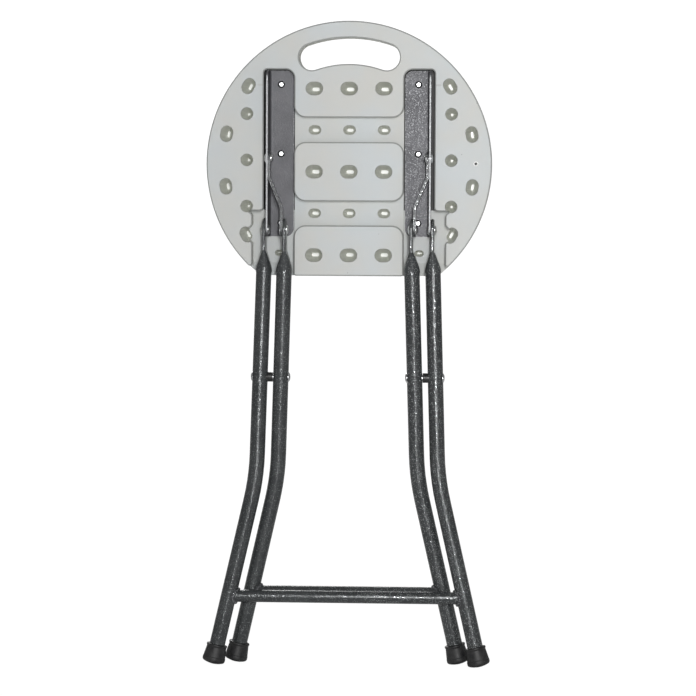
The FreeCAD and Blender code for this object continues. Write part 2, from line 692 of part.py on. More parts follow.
def leg(blade_x, pivot_bore, cross_bore, head_side):
    """One bent leg tube: flattened at its pivot, drilled at the crossing and open inside its foot.

    A small flat under the crossing rivet's head lies on the outside (1) or on the inside (-1).
    """
    top, knee, sole = leg_line(blade_x)
    end = sole + (knee - sole).normalize() * FOOT_SOLE_THICKNESS
    bore = bent_rod(TUBE_DIAMETER / 2 - TUBE_WALL, top, knee, end)
    cross = (-CROSS_DISTANCE, 0)
    flat_x = crossing_x(blade_x) + head_side * CROSS_FLAT
    far_x = flat_x + head_side * TUBE_DIAMETER
    cuts = [
        bore,
        pivot_hole((0, 0), pivot_bore, blade_x - BLADE_THICKNESS, blade_x + BLADE_THICKNESS),
        pivot_hole(cross, cross_bore, blade_x - TUBE_DIAMETER, blade_x + 2 * TUBE_DIAMETER),
        pivot_hole(cross, PIVOT_HEAD_DIAMETER + 1, min(flat_x, far_x), max(flat_x, far_x)),
    ]
    return leg_body(blade_x).cut(cuts)


def crossing_x(blade_x):
    """Middle of a leg tube where the two legs cross."""
    return blade_x + math.tan(math.radians(UPPER_SPLAY)) * (CROSS_DISTANCE - BLADE_LENGTH)


def crossing_rivet():
    """Rivet through both tubes at the crossing: tight in the outer tube, running in the inner one."""
    outer_x = crossing_x(OUTER_BLADE_X) + CROSS_FLAT
    inner_x = crossing_x(INNER_BLADE_X) - CROSS_FLAT - SIDE_GAP
    return rivet((-CROSS_DISTANCE, 0), inner_x, outer_x, True, True)


def crossing_spacer():
    """Plastic spacer between the crossing tubes, cupped to the outer one."""
    low_x = crossing_x(INNER_BLADE_X) + TUBE_DIAMETER / 2 + SIDE_GAP
    high_x = crossing_x(OUTER_BLADE_X)
    ring = pivot_hole((-CROSS_DISTANCE, 0), SPACER_DIAMETER, low_x, high_x)
    bore = pivot_hole((-CROSS_DISTANCE, 0), PIVOT_DIAMETER, low_x - 1, high_x + 1)
    return ring.cut([bore, leg_body(OUTER_BLADE_X)])


def bar_end_x(blade_x, distance):
    """Middle of a leg's lower run at a distance below its pivot."""
    _, knee, _ = leg_line(blade_x)
    return knee.x + math.tan(math.radians(LOWER_SPLAY)) * (distance - BEND_DISTANCE)


def crossbar(blade_x, distance):
    """Tube butted between the two legs of one frame, its ends coped round them."""
    reach = bar_end_x(blade_x, distance)
    start = place(-reach, -distance, 0)
    bar = Part.makeCylinder(BAR_DIAMETER / 2, 2 * reach, start, X_AXIS)
    bore = Part.makeCylinder(BAR_DIAMETER / 2 - BAR_WALL, 2 * reach, start, X_AXIS)
    right_leg = leg_body(blade_x)
    return bar.cut([bore, right_leg, mirrored(right_leg)])


def weld_beads(blade_x, distance):
    """Fillet welds round both ends of a crossbar."""
    right_leg = leg_body(blade_x)
    radius = BAR_DIAMETER / 2
    face_x = bar_end_x(blade_x, distance) - TUBE_DIAMETER / 2 / math.cos(math.radians(LOWER_SPLAY))
    depth = TUBE_DIAMETER / 4
    base = place(face_x + depth, -distance, 0)
    collar = Part.makeCylinder(radius + WELD_RISE, depth, base, -X_AXIS)
    slope = Part.makeCone(radius + WELD_RISE, radius, WELD_LEG, base - X_AXIS * depth, -X_AXIS)
    bar = Part.makeCylinder(radius, 4 * depth, base - X_AXIS * 3 * depth, X_AXIS)
    bead = collar.fuse(slope).cut([bar, right_leg])
    return Part.makeCompound([bead, mirrored(bead)])


def foot(blade_x):
    """Flared cap with a rounded sole, pushed over the end of a leg."""
    _, knee, sole = leg_line(blade_x)
    sole_radius = FOOT_SOLE_DIAMETER / 2
    top_radius = FOOT_TOP_DIAMETER / 2
    bore = TUBE_DIAMETER / 2
    flat = sole_radius - FOOT_SOLE_ROUND
    corner = FOOT_SOLE_DOME + FOOT_SOLE_ROUND
    lip = (top_radius - bore) / 2
    diagonal = FOOT_SOLE_ROUND * math.sqrt(0.5)
    profile = [
        (0, 0),
        (flat, FOOT_SOLE_DOME),
        (flat + diagonal, corner - diagonal),
        (sole_radius, corner),
        (top_radius, FOOT_HEIGHT - lip),
        (top_radius - lip, FOOT_HEIGHT),
        (bore, FOOT_HEIGHT),
        (bore, FOOT_SOLE_THICKNESS),
        (0, FOOT_SOLE_THICKNESS),
    ]
    return turned(profile, sole, knee - sole)


def link():
    """Flat bar with a joggle that brings it from the flange to the side of the inner leg."""
    half = LINK_THICKNESS / 2
    lean = math.atan2(LINK_UPPER_X - LINK_LOWER_X, LINK_JOG_END - LINK_JOG_START)
    mitre = half * math.tan(lean / 2)
    end = LINK_LENGTH + LINK_WIDTH / 2
    strip = prism(rounded_outline([
        (LINK_UPPER_X + half, LINK_WIDTH / 2, 0),
        (LINK_UPPER_X + half, -LINK_JOG_START - mitre, LINK_BEND_RADIUS + LINK_THICKNESS),
        (LINK_LOWER_X + half, -LINK_JOG_END - mitre, LINK_BEND_RADIUS),
        (LINK_LOWER_X + half, -end, 0),
        (LINK_LOWER_X - half, -end, 0),
        (LINK_LOWER_X - half, -LINK_JOG_END + mitre, LINK_BEND_RADIUS + LINK_THICKNESS),
        (LINK_UPPER_X - half, -LINK_JOG_START + mitre, LINK_BEND_RADIUS),
        (LINK_UPPER_X - half, LINK_WIDTH / 2, 0),
    ]), -LINK_WIDTH / 2, LINK_WIDTH / 2)
    low_x = LINK_LOWER_X - LINK_THICKNESS
    width_x = LINK_UPPER_X + LINK_THICKNESS - low_x
    middle = Part.makeBox(width_x, LINK_WIDTH, LINK_LENGTH, Vector(low_x, -LINK_WIDTH / 2, -LINK_LENGTH))
    upper_end = pivot_hole((0, 0), LINK_WIDTH, low_x, low_x + width_x)
    lower_end = pivot_hole((-LINK_LENGTH, 0), LINK_WIDTH, low_x, low_x + width_x)
    bar = strip.common(middle.fuse([upper_end, lower_end]))
    upper_hole = pivot_hole((0, 0), PIVOT_DIAMETER + 2 * RUNNING_GAP, low_x, low_x + width_x)
    lower_hole = pivot_hole((-LINK_LENGTH, 0), PIVOT_DIAMETER, low_x, low_x + width_x)
    return bar.cut([upper_hole, lower_hole])


def link_end_rivet():
    """The link's half of the rivet that joins it to the inner leg."""
    half = LINK_THICKNESS / 2
    return rivet((-LINK_LENGTH, 0), LINK_LOWER_X - half, LINK_LOWER_X + half, False, True)


def inner_pivot_rivet():
    """The inner leg's half of the rivet that joins it to the link."""
    half = BLADE_THICKNESS / 2
    return rivet((0, 0), INNER_BLADE_X - half, INNER_BLADE_X + half, True, False)


def seat_pieces():
    """Everything that is fixed to the seat."""
    pieces = {"seat_shell": seat_shell()}
    pieces.update(both_sides("bracket", bracket()))
    pieces.update(both_sides("bracket_rivets", web_rivets()))
    pieces.update(both_sides("leg_pivot_rivet", leg_pivot_rivet()))
    pieces.update(both_sides("link_pivot_rivet", link_pivot_rivet()))
    return pieces


def outer_frame_pieces():
    """The legs that hang outside the brackets, with what turns with them."""
    running = PIVOT_DIAMETER + 2 * RUNNING_GAP
    pieces = both_sides("outer_leg", leg(OUTER_BLADE_X, running, PIVOT_DIAMETER, 1))
    pieces.update(both_sides("outer_foot", foot(OUTER_BLADE_X)))
    pieces.update(both_sides("cross_rivet", crossing_rivet()))
    pieces.update(both_sides("cross_spacer", crossing_spacer()))
    pieces["outer_crossbar"] = crossbar(OUTER_BLADE_X, OUTER_BAR_DISTANCE)
    pieces["outer_weld_beads"] = weld_beads(OUTER_BLADE_X, OUTER_BAR_DISTANCE)
    return swung(pieces, LEG_PIVOT, -LEG_TILT)


def inner_frame_pieces():
    """The legs that end at the links."""
    running = PIVOT_DIAMETER + 2 * RUNNING_GAP
    pieces = both_sides("inner_leg", leg(INNER_BLADE_X, PIVOT_DIAMETER, running, -1))
    pieces.update(both_sides("inner_foot", foot(INNER_BLADE_X)))
    pieces.update(both_sides("inner_pivot_rivet", inner_pivot_rivet()))
    pieces["inner_crossbar"] = crossbar(INNER_BLADE_X, INNER_BAR_DISTANCE)
    pieces["inner_weld_beads"] = weld_beads(INNER_BLADE_X, INNER_BAR_DISTANCE)
    return swung(pieces, INNER_PIVOT, LEG_TILT)


def link_pieces():
    """The two links with their halves of the lower rivets."""
    pieces = both_sides("link", link())
    pieces.update(both_sides("link_end_rivet", link_end_rivet()))
    return swung(pieces, LINK_PIVOT, -LINK_TILT)


def swung(pieces, pivot, degrees):
    """Pieces drawn hanging straight down, carried to their pivot and turned about it."""
    for piece in pieces.values():
        piece.translate(place(0, pivot[0], pivot[1]))
        piece.rotate(place(0, pivot[0], pivot[1]), X_AXIS, degrees)
    return pieces


def fold_angles():
    """Degrees that the outer frame, the inner frame and the links turn from folded to open."""
    open_lean = math.degrees(math.acos(LINK_PIVOT_SPACING / CROSS_DISTANCE))
    outer = 180 - LEG_TILT - open_lean
    inner = 180 + LEG_TILT - (180 - open_lean)
    return outer, inner - outer, 180.0


def bottom_centre(pieces):
    """Middle of the stool's footprint, on the floor."""
    boxes = [piece.optimalBoundingBox(False, False) for piece in pieces.values()]
    low_y = min(box.YMin for box in boxes)
    high_y = max(box.YMax for box in boxes)
    return Vector(0, (low_y + high_y) / 2, min(box.ZMin for box in boxes))


def main():
    """Build every piece, stand the stool on the origin and write one file for each piece."""
    os.makedirs("parts", exist_ok=True)
    pieces = seat_pieces()
    pieces.update(outer_frame_pieces())
    pieces.update(inner_frame_pieces())
    pieces.update(link_pieces())
    origin = bottom_centre(pieces)
    for name, piece in pieces.items():
        piece.translate(-origin)
        piece.exportStep("parts/" + name + ".step")
    cross_up = LEG_PIVOT[0] - CROSS_DISTANCE * math.cos(HALF_SPREAD)
    cross = (cross_up, PIVOT_RISE / 2)
    pivots = {"leg": LEG_PIVOT, "link": LINK_PIVOT, "crossing": cross, "inner": INNER_PIVOT}
    for name, pivot in pivots.items():
        print(name, "pivot", place(0, pivot[0], pivot[1]) - origin)
    print("seat middle", -origin)
    print("fold angles", fold_angles())


if __name__ == "__main__":
    main()
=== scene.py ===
"""Looks of a folding stool: moulded seat, hammered steel legs, zinc rivets and rubber feet.

All lengths are in metres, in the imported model's own frame: the folded stool stands on its feet, +Z runs
up to the carrying slot and -Y comes out of the seat's underside.
"""

import logging
import math
from dataclasses import dataclass, field
from enum import Enum

import bpy
import numpy as np
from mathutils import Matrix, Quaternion, Vector

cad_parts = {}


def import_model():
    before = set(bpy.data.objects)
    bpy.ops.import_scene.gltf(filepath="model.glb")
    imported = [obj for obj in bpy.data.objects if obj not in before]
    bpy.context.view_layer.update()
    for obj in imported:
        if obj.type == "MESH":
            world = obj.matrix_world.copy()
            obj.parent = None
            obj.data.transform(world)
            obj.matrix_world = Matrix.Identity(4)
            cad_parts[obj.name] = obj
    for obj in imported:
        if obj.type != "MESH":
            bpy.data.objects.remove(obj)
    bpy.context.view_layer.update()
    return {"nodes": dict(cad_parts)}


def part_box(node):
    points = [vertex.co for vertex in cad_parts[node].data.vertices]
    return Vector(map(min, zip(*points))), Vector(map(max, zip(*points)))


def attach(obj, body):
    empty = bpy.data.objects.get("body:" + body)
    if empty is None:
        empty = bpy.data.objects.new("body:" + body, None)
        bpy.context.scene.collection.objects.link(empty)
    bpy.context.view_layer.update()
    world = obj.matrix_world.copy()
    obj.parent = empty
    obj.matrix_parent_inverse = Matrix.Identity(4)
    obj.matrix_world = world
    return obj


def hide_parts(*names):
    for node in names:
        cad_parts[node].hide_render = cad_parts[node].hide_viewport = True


LOG = logging.getLogger("stool")
Colour = tuple[float, float, float]
Place = tuple[float, float, float]


class Side(Enum):
    """The two sides of the stool, seen from the underside."""

    LEFT = -1
    RIGHT = 1

    @property
    def word(self) -> str:
        """Ending of the names of this side's nodes."""
        return self.name.lower()


class Frame(Enum):
    """The two crossing leg frames."""

    OUTER = "outer"
    INNER = "inner"

    @property
    def body(self) -> str:
        """Name of the moving body that this frame is."""
        return f"{self.value}_frame"


class NodeSheet:
    """Short hand for building one node tree."""

    def __init__(self, tree: bpy.types.NodeTree) -> None:
        """Take the tree to build in.

        Args:
            tree: A material's tree or a node group.
        """
        self.tree = tree

    def node(self, kind: str, props: dict | None = None, **inputs) -> bpy.types.Node:
        """Add a node, set its options and fill or link its inputs.

        Args:
            kind: The node's type, without the ShaderNode in front.
            props: Options of the node, such as its operation.
            inputs: Socket names with underscores for spaces, each with a plain value or a socket.

        Returns:
            The new node.
        """
        made = self.tree.nodes.new("ShaderNode" + kind)
        for name, value in (props or {}).items():
            setattr(made, name, value)
        for name, value in inputs.items():
            wanted = name.replace("_", " ")
            socket = next(s for s in made.inputs if s.name == wanted and s.enabled)
            self.fill(socket, value)
        return made

    def fill(self, socket: bpy.types.NodeSocket, value) -> None:
        """Link a socket to another one, or give it a plain value."""
        if isinstance(value, bpy.types.NodeSocket):
            self.tree.links.new(value, socket)
        elif isinstance(value, tuple) and len(value) == 3 and socket.type == "RGBA":
            socket.default_value = (*value, 1.0)
        else:
            socket.default_value = value

    def math(self, operation: str, first, second=0.0, third=0.0) -> bpy.types.NodeSocket:
        """Add a Math node.

        Args:
            operation: The node's operation.
            first: Value or socket.
            second: Value or socket.
            third: Value or socket.

        Returns:
            The result's socket.
        """
        made = self.tree.nodes.new("ShaderNodeMath")
        made.operation = operation
        for socket, value in zip(made.inputs, (first, second, third)):
            self.fill(socket, value)
        return made.outputs[0]

    def product(self, *factors) -> bpy.types.NodeSocket:
        """Multiply any number of values."""
        result = factors[0]
        for factor in factors[1:]:
            result = self.math("MULTIPLY", result, factor)
        return result

    def band(self, value, low: float, high: float) -> bpy.types.NodeSocket:
        """Smooth step from 0 at the low edge to 1 at the high edge."""
        props = {"interpolation_type": "SMOOTHSTEP"}
        made = self.node("MapRange", props, Value=value, From_Min=low, From_Max=high)
        return made.outputs["Result"]

    def within(self, value, low: float, high: float, soft: float) -> bpy.types.NodeSocket:
        """One between two limits and 0 outside them, with soft edges."""
        rising = self.band(value, low - soft, low)
        falling = self.band(value, high + soft, high)
        return self.math("MULTIPLY", rising, falling)

    def blend(self, share, first, second, mode: str = "MIX") -> bpy.types.NodeSocket:
        """Mix two colours by a share."""
        made = self.tree.nodes.new("ShaderNodeMix")
        made.data_type = "RGBA"
        made.blend_type = mode
        self.fill(made.inputs[0], share)
        self.fill(made.inputs[6], first)
        self.fill(made.inputs[7], second)
        return made.outputs[2]


def new_group(name: str, takes: dict[str, float], gives: dict[str, str]) -> tuple[NodeSheet, dict, dict]:
    """Start a shader node group with named sockets.

    Args:
        name: The group's name.
        takes: Name and usual value of each number that goes in.
        gives: Name and kind (Float, Color or Vector) of each output.

    Returns:
        The sheet to build on, the sockets that come in and the sockets to feed.
    """
    tree = bpy.data.node_groups.new(name, "ShaderNodeTree")
    for label, usual in takes.items():
        socket = tree.interface.new_socket(label, in_out="INPUT", socket_type="NodeSocketFloat")
        socket.default_value = usual
    for label, kind in gives.items():
        tree.interface.new_socket(label, in_out="OUTPUT", socket_type="NodeSocket" + kind)
    come_in = tree.nodes.new("NodeGroupInput")
    go_out = tree.nodes.new("NodeGroupOutput")
    into = {label: come_in.outputs[label] for label in takes}
    out = {label: go_out.inputs[label] for label in gives}
    return NodeSheet(tree), into, out


@dataclass
class Effects:
    """Surface effects that several finishes share, each built once as a node group."""

    grain: bpy.types.NodeTree = field(init=False)
    cloud: bpy.types.NodeTree = field(init=False)
    hammer: bpy.types.NodeTree = field(init=False)
    edges: bpy.types.NodeTree = field(init=False)
    specks: bpy.types.NodeTree = field(init=False)

    def __post_init__(self) -> None:
        """Build every group."""
        self.grain = self.build_grain()
        self.cloud = self.build_cloud()
        self.hammer = self.build_hammer()
        self.edges = self.build_edges()
        self.specks = self.build_specks()

    def place(self, sheet: NodeSheet, group: bpy.types.NodeTree, **values) -> bpy.types.Node:
        """Place a group in a material.

        Args:
            sheet: The material's sheet.
            group: One of the groups above.
            values: The group's inputs, with underscores for spaces.

        Returns:
            The group node.
        """
        made = sheet.tree.nodes.new("ShaderNodeGroup")
        made.node_tree = group
        for name, value in values.items():
            sheet.fill(made.inputs[name.replace("_", " ")], value)
        return made

    @staticmethod
    def build_grain() -> bpy.types.NodeTree:
        """Fine moulded or powdery grain: noise at the grain's size with a finer one over it."""
        sheet, into, out = new_group("Fine grain", {"Size": 0.0006}, {"Height": "Float"})
        spot = sheet.node("TexCoord").outputs["Object"]
        scale = sheet.math("DIVIDE", 1.0, into["Size"])
        coarse = sheet.node("TexNoise", Vector=spot, Scale=scale, Detail=3.0, Roughness=0.6)
        finer = sheet.math("MULTIPLY", scale, 2.7)
        fine = sheet.node("TexNoise", Vector=spot, Scale=finer, Detail=1.0)
        height = sheet.math("MULTIPLY_ADD", fine.outputs["Fac"], 0.4, coarse.outputs["Fac"])
        sheet.fill(out["Height"], height)
        return sheet.tree

    @staticmethod
    def build_cloud() -> bpy.types.NodeTree:
        """Slow variation over the surface, from 0 to 1."""
        sheet, into, out = new_group("Slow clouds", {"Size": 0.05}, {"Value": "Float"})
        spot = sheet.node("TexCoord").outputs["Object"]
        scale = sheet.math("DIVIDE", 1.0, into["Size"])
        noise = sheet.node("TexNoise", Vector=spot, Scale=scale, Detail=4.0, Roughness=0.55)
        sheet.fill(out["Value"], sheet.band(noise.outputs["Fac"], 0.3, 0.7))
        return sheet.tree

    @staticmethod
    def build_hammer() -> bpy.types.NodeTree:
        """Hammered paint: rounded cells moved about by noise under a finer ripple, and bright flakes."""
        takes = {"Size": 0.0014, "Rim": 0.5}
        sheet, into, out = new_group("Hammered paint", takes, {"Height": "Float", "Flakes": "Float"})
        spot = sheet.node("TexCoord").outputs["Object"]
        scale = sheet.math("DIVIDE", 1.0, into["Size"])
        wander = sheet.node("TexNoise", Vector=spot, Scale=sheet.product(scale, 0.8), Detail=2.0)
        offset = sheet.node("VectorMath", {"operation": "MULTIPLY_ADD"})
        amount = sheet.node("CombineXYZ", X=into["Size"], Y=into["Size"], Z=into["Size"]).outputs[0]
        for socket, value in zip(offset.inputs, (wander.outputs["Color"], amount, spot)):
            sheet.fill(socket, value)
        props = {"feature": "SMOOTH_F1"}
        cells = sheet.node("TexVoronoi", props, Vector=offset.outputs[0], Scale=scale, Smoothness=0.5)
        ripple = sheet.node("TexNoise", Vector=spot, Scale=sheet.product(scale, 1.6), Detail=2.0)
        height = sheet.math("MULTIPLY_ADD", ripple.outputs["Fac"], into["Rim"], cells.outputs["Distance"])
        sheet.fill(out["Height"], height)
        flakes = sheet.node("TexVoronoi", Vector=spot, Scale=sheet.math("MULTIPLY", scale, 1.5))
        lit = sheet.node("SeparateColor", Color=flakes.outputs["Color"]).outputs[0]
        near = sheet.band(flakes.outputs["Distance"], 0.55, 0.3)
        sheet.fill(out["Flakes"], sheet.math("MULTIPLY", near, sheet.band(lit, 0.66, 0.9)))
        return sheet.tree

    @staticmethod
    def build_edges() -> bpy.types.NodeTree:
        """Edges: where a rounded normal leaves the true one, whole as a line and broken up by noise; the
        line serves as painted shade on the seat, the broken line as rubbing on the feet and as painted
        highlights on the paint.
        """
        takes = {"Reach": 0.0006, "Breaks": 0.004}
        sheet, into, out = new_group("Edges", takes, {"Line": "Float", "Rubbing and highlight": "Float"})
        bevel = sheet.node("Bevel", {"samples": 4}, Radius=into["Reach"])
        true = sheet.node("NewGeometry").outputs["Normal"]
        dot = sheet.node("VectorMath", {"operation": "DOT_PRODUCT"})
        sheet.fill(dot.inputs[0], bevel.outputs[0])
        sheet.fill(dot.inputs[1], true)
        edge = sheet.band(dot.outputs["Value"], 0.985, 0.88)
        spot = sheet.node("TexCoord").outputs["Object"]
        scale = sheet.math("DIVIDE", 1.0, into["Breaks"])
        noise = sheet.node("TexNoise", Vector=spot, Scale=scale, Detail=3.0)
        broken = sheet.band(noise.outputs["Fac"], 0.35, 0.6)
        sheet.fill(out["Line"], edge)
        sheet.fill(out["Rubbing and highlight"], sheet.math("MULTIPLY", edge, broken))
        return sheet.tree

    @staticmethod
    def build_specks() -> bpy.types.NodeTree:
        """A few tiny dark specks: cells whose random value passes a limit, near their centres only."""
        sheet, into, out = new_group("Specks", {"Spacing": 0.016, "Dot": 0.05}, {"Mask": "Float"})
        spot = sheet.node("TexCoord").outputs["Object"]
        cells = sheet.node("TexVoronoi", Vector=spot, Scale=sheet.math("DIVIDE", 1.0, into["Spacing"]))
        near = sheet.math("LESS_THAN", cells.outputs["Distance"], into["Dot"])
        lot = sheet.node("SeparateColor", Color=cells.outputs["Color"]).outputs[1]
        some = sheet.math("GREATER_THAN", lot, 0.8)
        sheet.fill(out["Mask"], sheet.math("MULTIPLY", near, some))
        return sheet.tree


@dataclass(frozen=True)
class Finish:
    """What every finish has in common."""

    name: str

    def start(self) -> tuple[bpy.types.Material, NodeSheet, bpy.types.Node]:
        """Make an empty material with one Principled shader.

        Returns:
            The material, the sheet to build on and the shader.
        """
        material = bpy.data.materials.new(self.name)
        material.use_nodes = True
        material.node_tree.nodes.clear()
        sheet = NodeSheet(material.node_tree)
        shader = sheet.node("BsdfPrincipled")
        out = sheet.tree.nodes.new("ShaderNodeOutputMaterial")
        sheet.tree.links.new(shader.outputs[0], out.inputs[0])
        return material, sheet, shader

    def build(self, effects: Effects) -> bpy.types.Material:
        """Make the material. Each finish says how."""
        raise NotImplementedError

    @staticmethod
    def grained(
        sheet: NodeSheet,
        shader: bpy.types.Node,
        effects: Effects,
        size: float,
        strength: float,
        height: float,
    ) -> None:
        """Roughen the shader's normal with the fine grain.

        Args:
            sheet: The material's sheet.
            shader: The Principled shader.
            effects: The shared effects.
            size: Size of the grains.
            strength: Strength of the bump.
            height: Height of the grains.
        """
        grain = effects.place(sheet, effects.grain, Size=size)
        bump = sheet.node("Bump", Strength=strength, Distance=height, Height=grain.outputs["Height"])
        sheet.fill(shader.inputs["Normal"], bump.outputs[0])


@dataclass(frozen=True)
class MouldedPlastic(Finish):
    """Pale polyethylene of the seat, with painted shading on the steep walls and edges of its recesses,
    painted highlights on the flat well floors and round the vent, and painted shade in the channels, in the
    vent and towards the left.
    """

    cool: Colour = (0.60, 0.635, 0.645)
    warm: Colour = (0.64, 0.64, 0.61)
    left_painted_shade: Colour = (0.90, 0.90, 0.90)
    well_wall_painted_shading: Colour = (0.67, 0.68, 0.62)
    edge_painted_shade: Colour = (0.27, 0.28, 0.25)
    chamfer_painted_shade: Colour = (0.33, 0.34, 0.33)
    painted_highlight_white: Colour = (0.93, 0.94, 0.92)
    shade: Colour = (0.03, 0.03, 0.03)
    scuff: Colour = (0.50, 0.51, 0.50)
    speck: Colour = (0.12, 0.12, 0.11)
    well_wall_shading_share: float = 0.9
    edge_shade_share: float = 0.65
    chamfer_shade_share: float = 0.75
    scuff_share: float = 0.8
    underside_y: float = -0.0028
    middle_z: float = 0.5168
    thickness: float = 0.032
    floor_depth: float = 0.0256
    lip_depth: float = 0.0192
    inside_radius: float = 0.1445
    painted_shade_x: float = 0.13
    channel_inner_x: float = 0.0563
    channel_outer_x: float = 0.0884
    channel_top_up: float = 0.0975
    channel_shelf_drop: float = 0.047
    scuff_x: float = 0.0915
    scuff_up: float = 0.0812
    scuff_half_width: float = 0.0042
    scuff_half_height: float = 0.0013
    vent_x: float = 0.1305
    vent_up: float = 0.0010
    vent_radius: float = 0.0014
    vent_ring: float = 0.0024
    roughness: float = 0.46
    cloud_roughness: float = 0.08
    fused_gloss: float = 0.3

    def build(self, effects: Effects) -> bpy.types.Material:
        """Make the material."""
        material, sheet, shader = self.start()
        spot = sheet.node("TexCoord").outputs["Object"]
        place = sheet.node("SeparateXYZ", Vector=spot)
        depth = sheet.math("SUBTRACT", place.outputs["Y"], self.underside_y)
        across = sheet.math("ABSOLUTE", place.outputs["X"])
        up = sheet.math("SUBTRACT", place.outputs["Z"], self.middle_z)
        normal = sheet.node("SeparateXYZ", Vector=sheet.node("TexCoord").outputs["Normal"])
        facing = sheet.math("ABSOLUTE", normal.outputs["Y"])
        inside = sheet.math("LESS_THAN", self.length(sheet, across, up), self.inside_radius)
        front = sheet.math("LESS_THAN", depth, self.thickness / 2)
        # Painted shading: steep walls inside the rim, on the underside, take an olive tone in place of the
        # shading on them.
        side = sheet.product(inside, sheet.band(depth, 0.0005, 0.003), sheet.band(facing, 0.75, 0.35))
        floor = sheet.math("GREATER_THAN", depth, self.floor_depth)
        flat = sheet.product(floor, inside, sheet.math("LESS_THAN", normal.outputs["Y"], -0.8))
        # Painted shade: faces at about 45 degrees on the underside, the chamfers, are darkened in place of
        # the shading on them.
        chamfer_shade_mask = sheet.product(sheet.within(facing, 0.66, 0.76, 0.06), front)
        # Painted shade: the channels that hold the brackets are painted near black, in place of the shadow
        # in the gap round each bracket.
        channel = sheet.product(
            sheet.within(across, self.channel_inner_x, self.channel_outer_x, 0.0001),
            sheet.within(up, -self.channel_shelf_drop, self.channel_top_up, 0.0004),
            sheet.band(depth, 0.0008, 0.005),
            sheet.math("LESS_THAN", depth, self.floor_depth),
        )
        edges = effects.place(sheet, effects.edges, Reach=0.0006, Breaks=0.01)
        # Painted shade: a dark line along the edges of the recesses, above the deep well floors, in place
        # of the shading there.
        lip = sheet.product(edges.outputs["Line"], sheet.math("LESS_THAN", depth, self.lip_depth))
        cloud = effects.place(sheet, effects.cloud, Size=0.07)
        # Painted shade: the seat's colour grows darker towards the left, in place of the light falling off
        # there.
        towards_left_shade = sheet.band(place.outputs["X"], self.painted_shade_x, -self.painted_shade_x)
        scuffs = sheet.product(self.scuffed(sheet, across, up), front, self.scuff_share)
        base = sheet.blend(cloud.outputs["Value"], self.cool, self.warm)
        base = sheet.blend(towards_left_shade, base, self.left_painted_shade, "MULTIPLY")
        base = sheet.blend(scuffs, base, self.scuff)
        base = sheet.blend(sheet.product(side, self.well_wall_shading_share), base, self.well_wall_painted_shading)
        base = sheet.blend(sheet.product(lip, self.edge_shade_share), base, self.edge_painted_shade)
        base = sheet.blend(sheet.product(chamfer_shade_mask, self.chamfer_shade_share), base, self.chamfer_painted_shade)
        # Painted highlight: the flat well floors are made near white, in place of the lamp's reflection in
        # them.
        base = sheet.blend(flat, base, self.painted_highlight_white)
        base = sheet.blend(channel, base, self.shade)
        from_vent = self.from_vent(sheet, place.outputs["X"], up)
        # Painted highlight: a bright ring round the vent hole, on the underside only.
        ring = sheet.product(sheet.math("LESS_THAN", from_vent, self.vent_ring), front)
        # Painted shade: the vent hole's mouth is painted black, in place of the shadow inside it.
        hole = sheet.product(sheet.math("LESS_THAN", from_vent, self.vent_radius), front)
        base = sheet.blend(ring, base, self.painted_highlight_white)
        base = sheet.blend(hole, base, self.shade)
        specks = effects.place(sheet, effects.specks, Spacing=0.021, Dot=0.022)
        base = sheet.blend(specks.outputs["Mask"], base, self.speck)
        sheet.fill(shader.inputs["Base Color"], base)
        rough = sheet.math("MULTIPLY_ADD", cloud.outputs["Value"], self.cloud_roughness, self.roughness)
        rough = sheet.math("MULTIPLY_ADD", flat, -self.fused_gloss, rough)
        sheet.fill(shader.inputs["Roughness"], rough)
        shader.inputs["Specular IOR Level"].default_value = 0.35
        self.grained(sheet, shader, effects, size=0.0007, strength=0.12, height=0.0002)
        return material

    @staticmethod
    def length(sheet: NodeSheet, wide, tall) -> bpy.types.NodeSocket:
        """Length of the slant of a right triangle with two given sides."""
        return sheet.math("SQRT", sheet.math("MULTIPLY_ADD", wide, wide, sheet.product(tall, tall)))

    def from_vent(self, sheet: NodeSheet, x, up) -> bpy.types.NodeSocket:
        """Distance from the middle of the small vent hole at the right."""
        wide = sheet.math("SUBTRACT", x, self.vent_x)
        return self.length(sheet, wide, sheet.math("SUBTRACT", up, self.vent_up))

    def scuffed(self, sheet: NodeSheet, across, up) -> bpy.types.NodeSocket:
        """Faint short mark that a flange left beside each channel.

        Args:
            sheet: The material's sheet.
            across: Distance from the middle of the seat.
            up: Height above the middle of the seat.

        Returns:
            The mark's mask.
        """
        wide = sheet.math("DIVIDE", sheet.math("SUBTRACT", across, self.scuff_x), self.scuff_half_width)
        tall = sheet.math("DIVIDE", sheet.math("SUBTRACT", up, self.scuff_up), self.scuff_half_height)
        reach = sheet.math("MULTIPLY_ADD", wide, wide, sheet.math("MULTIPLY", tall, tall))
        return sheet.band(reach, 1.3, 0.2)


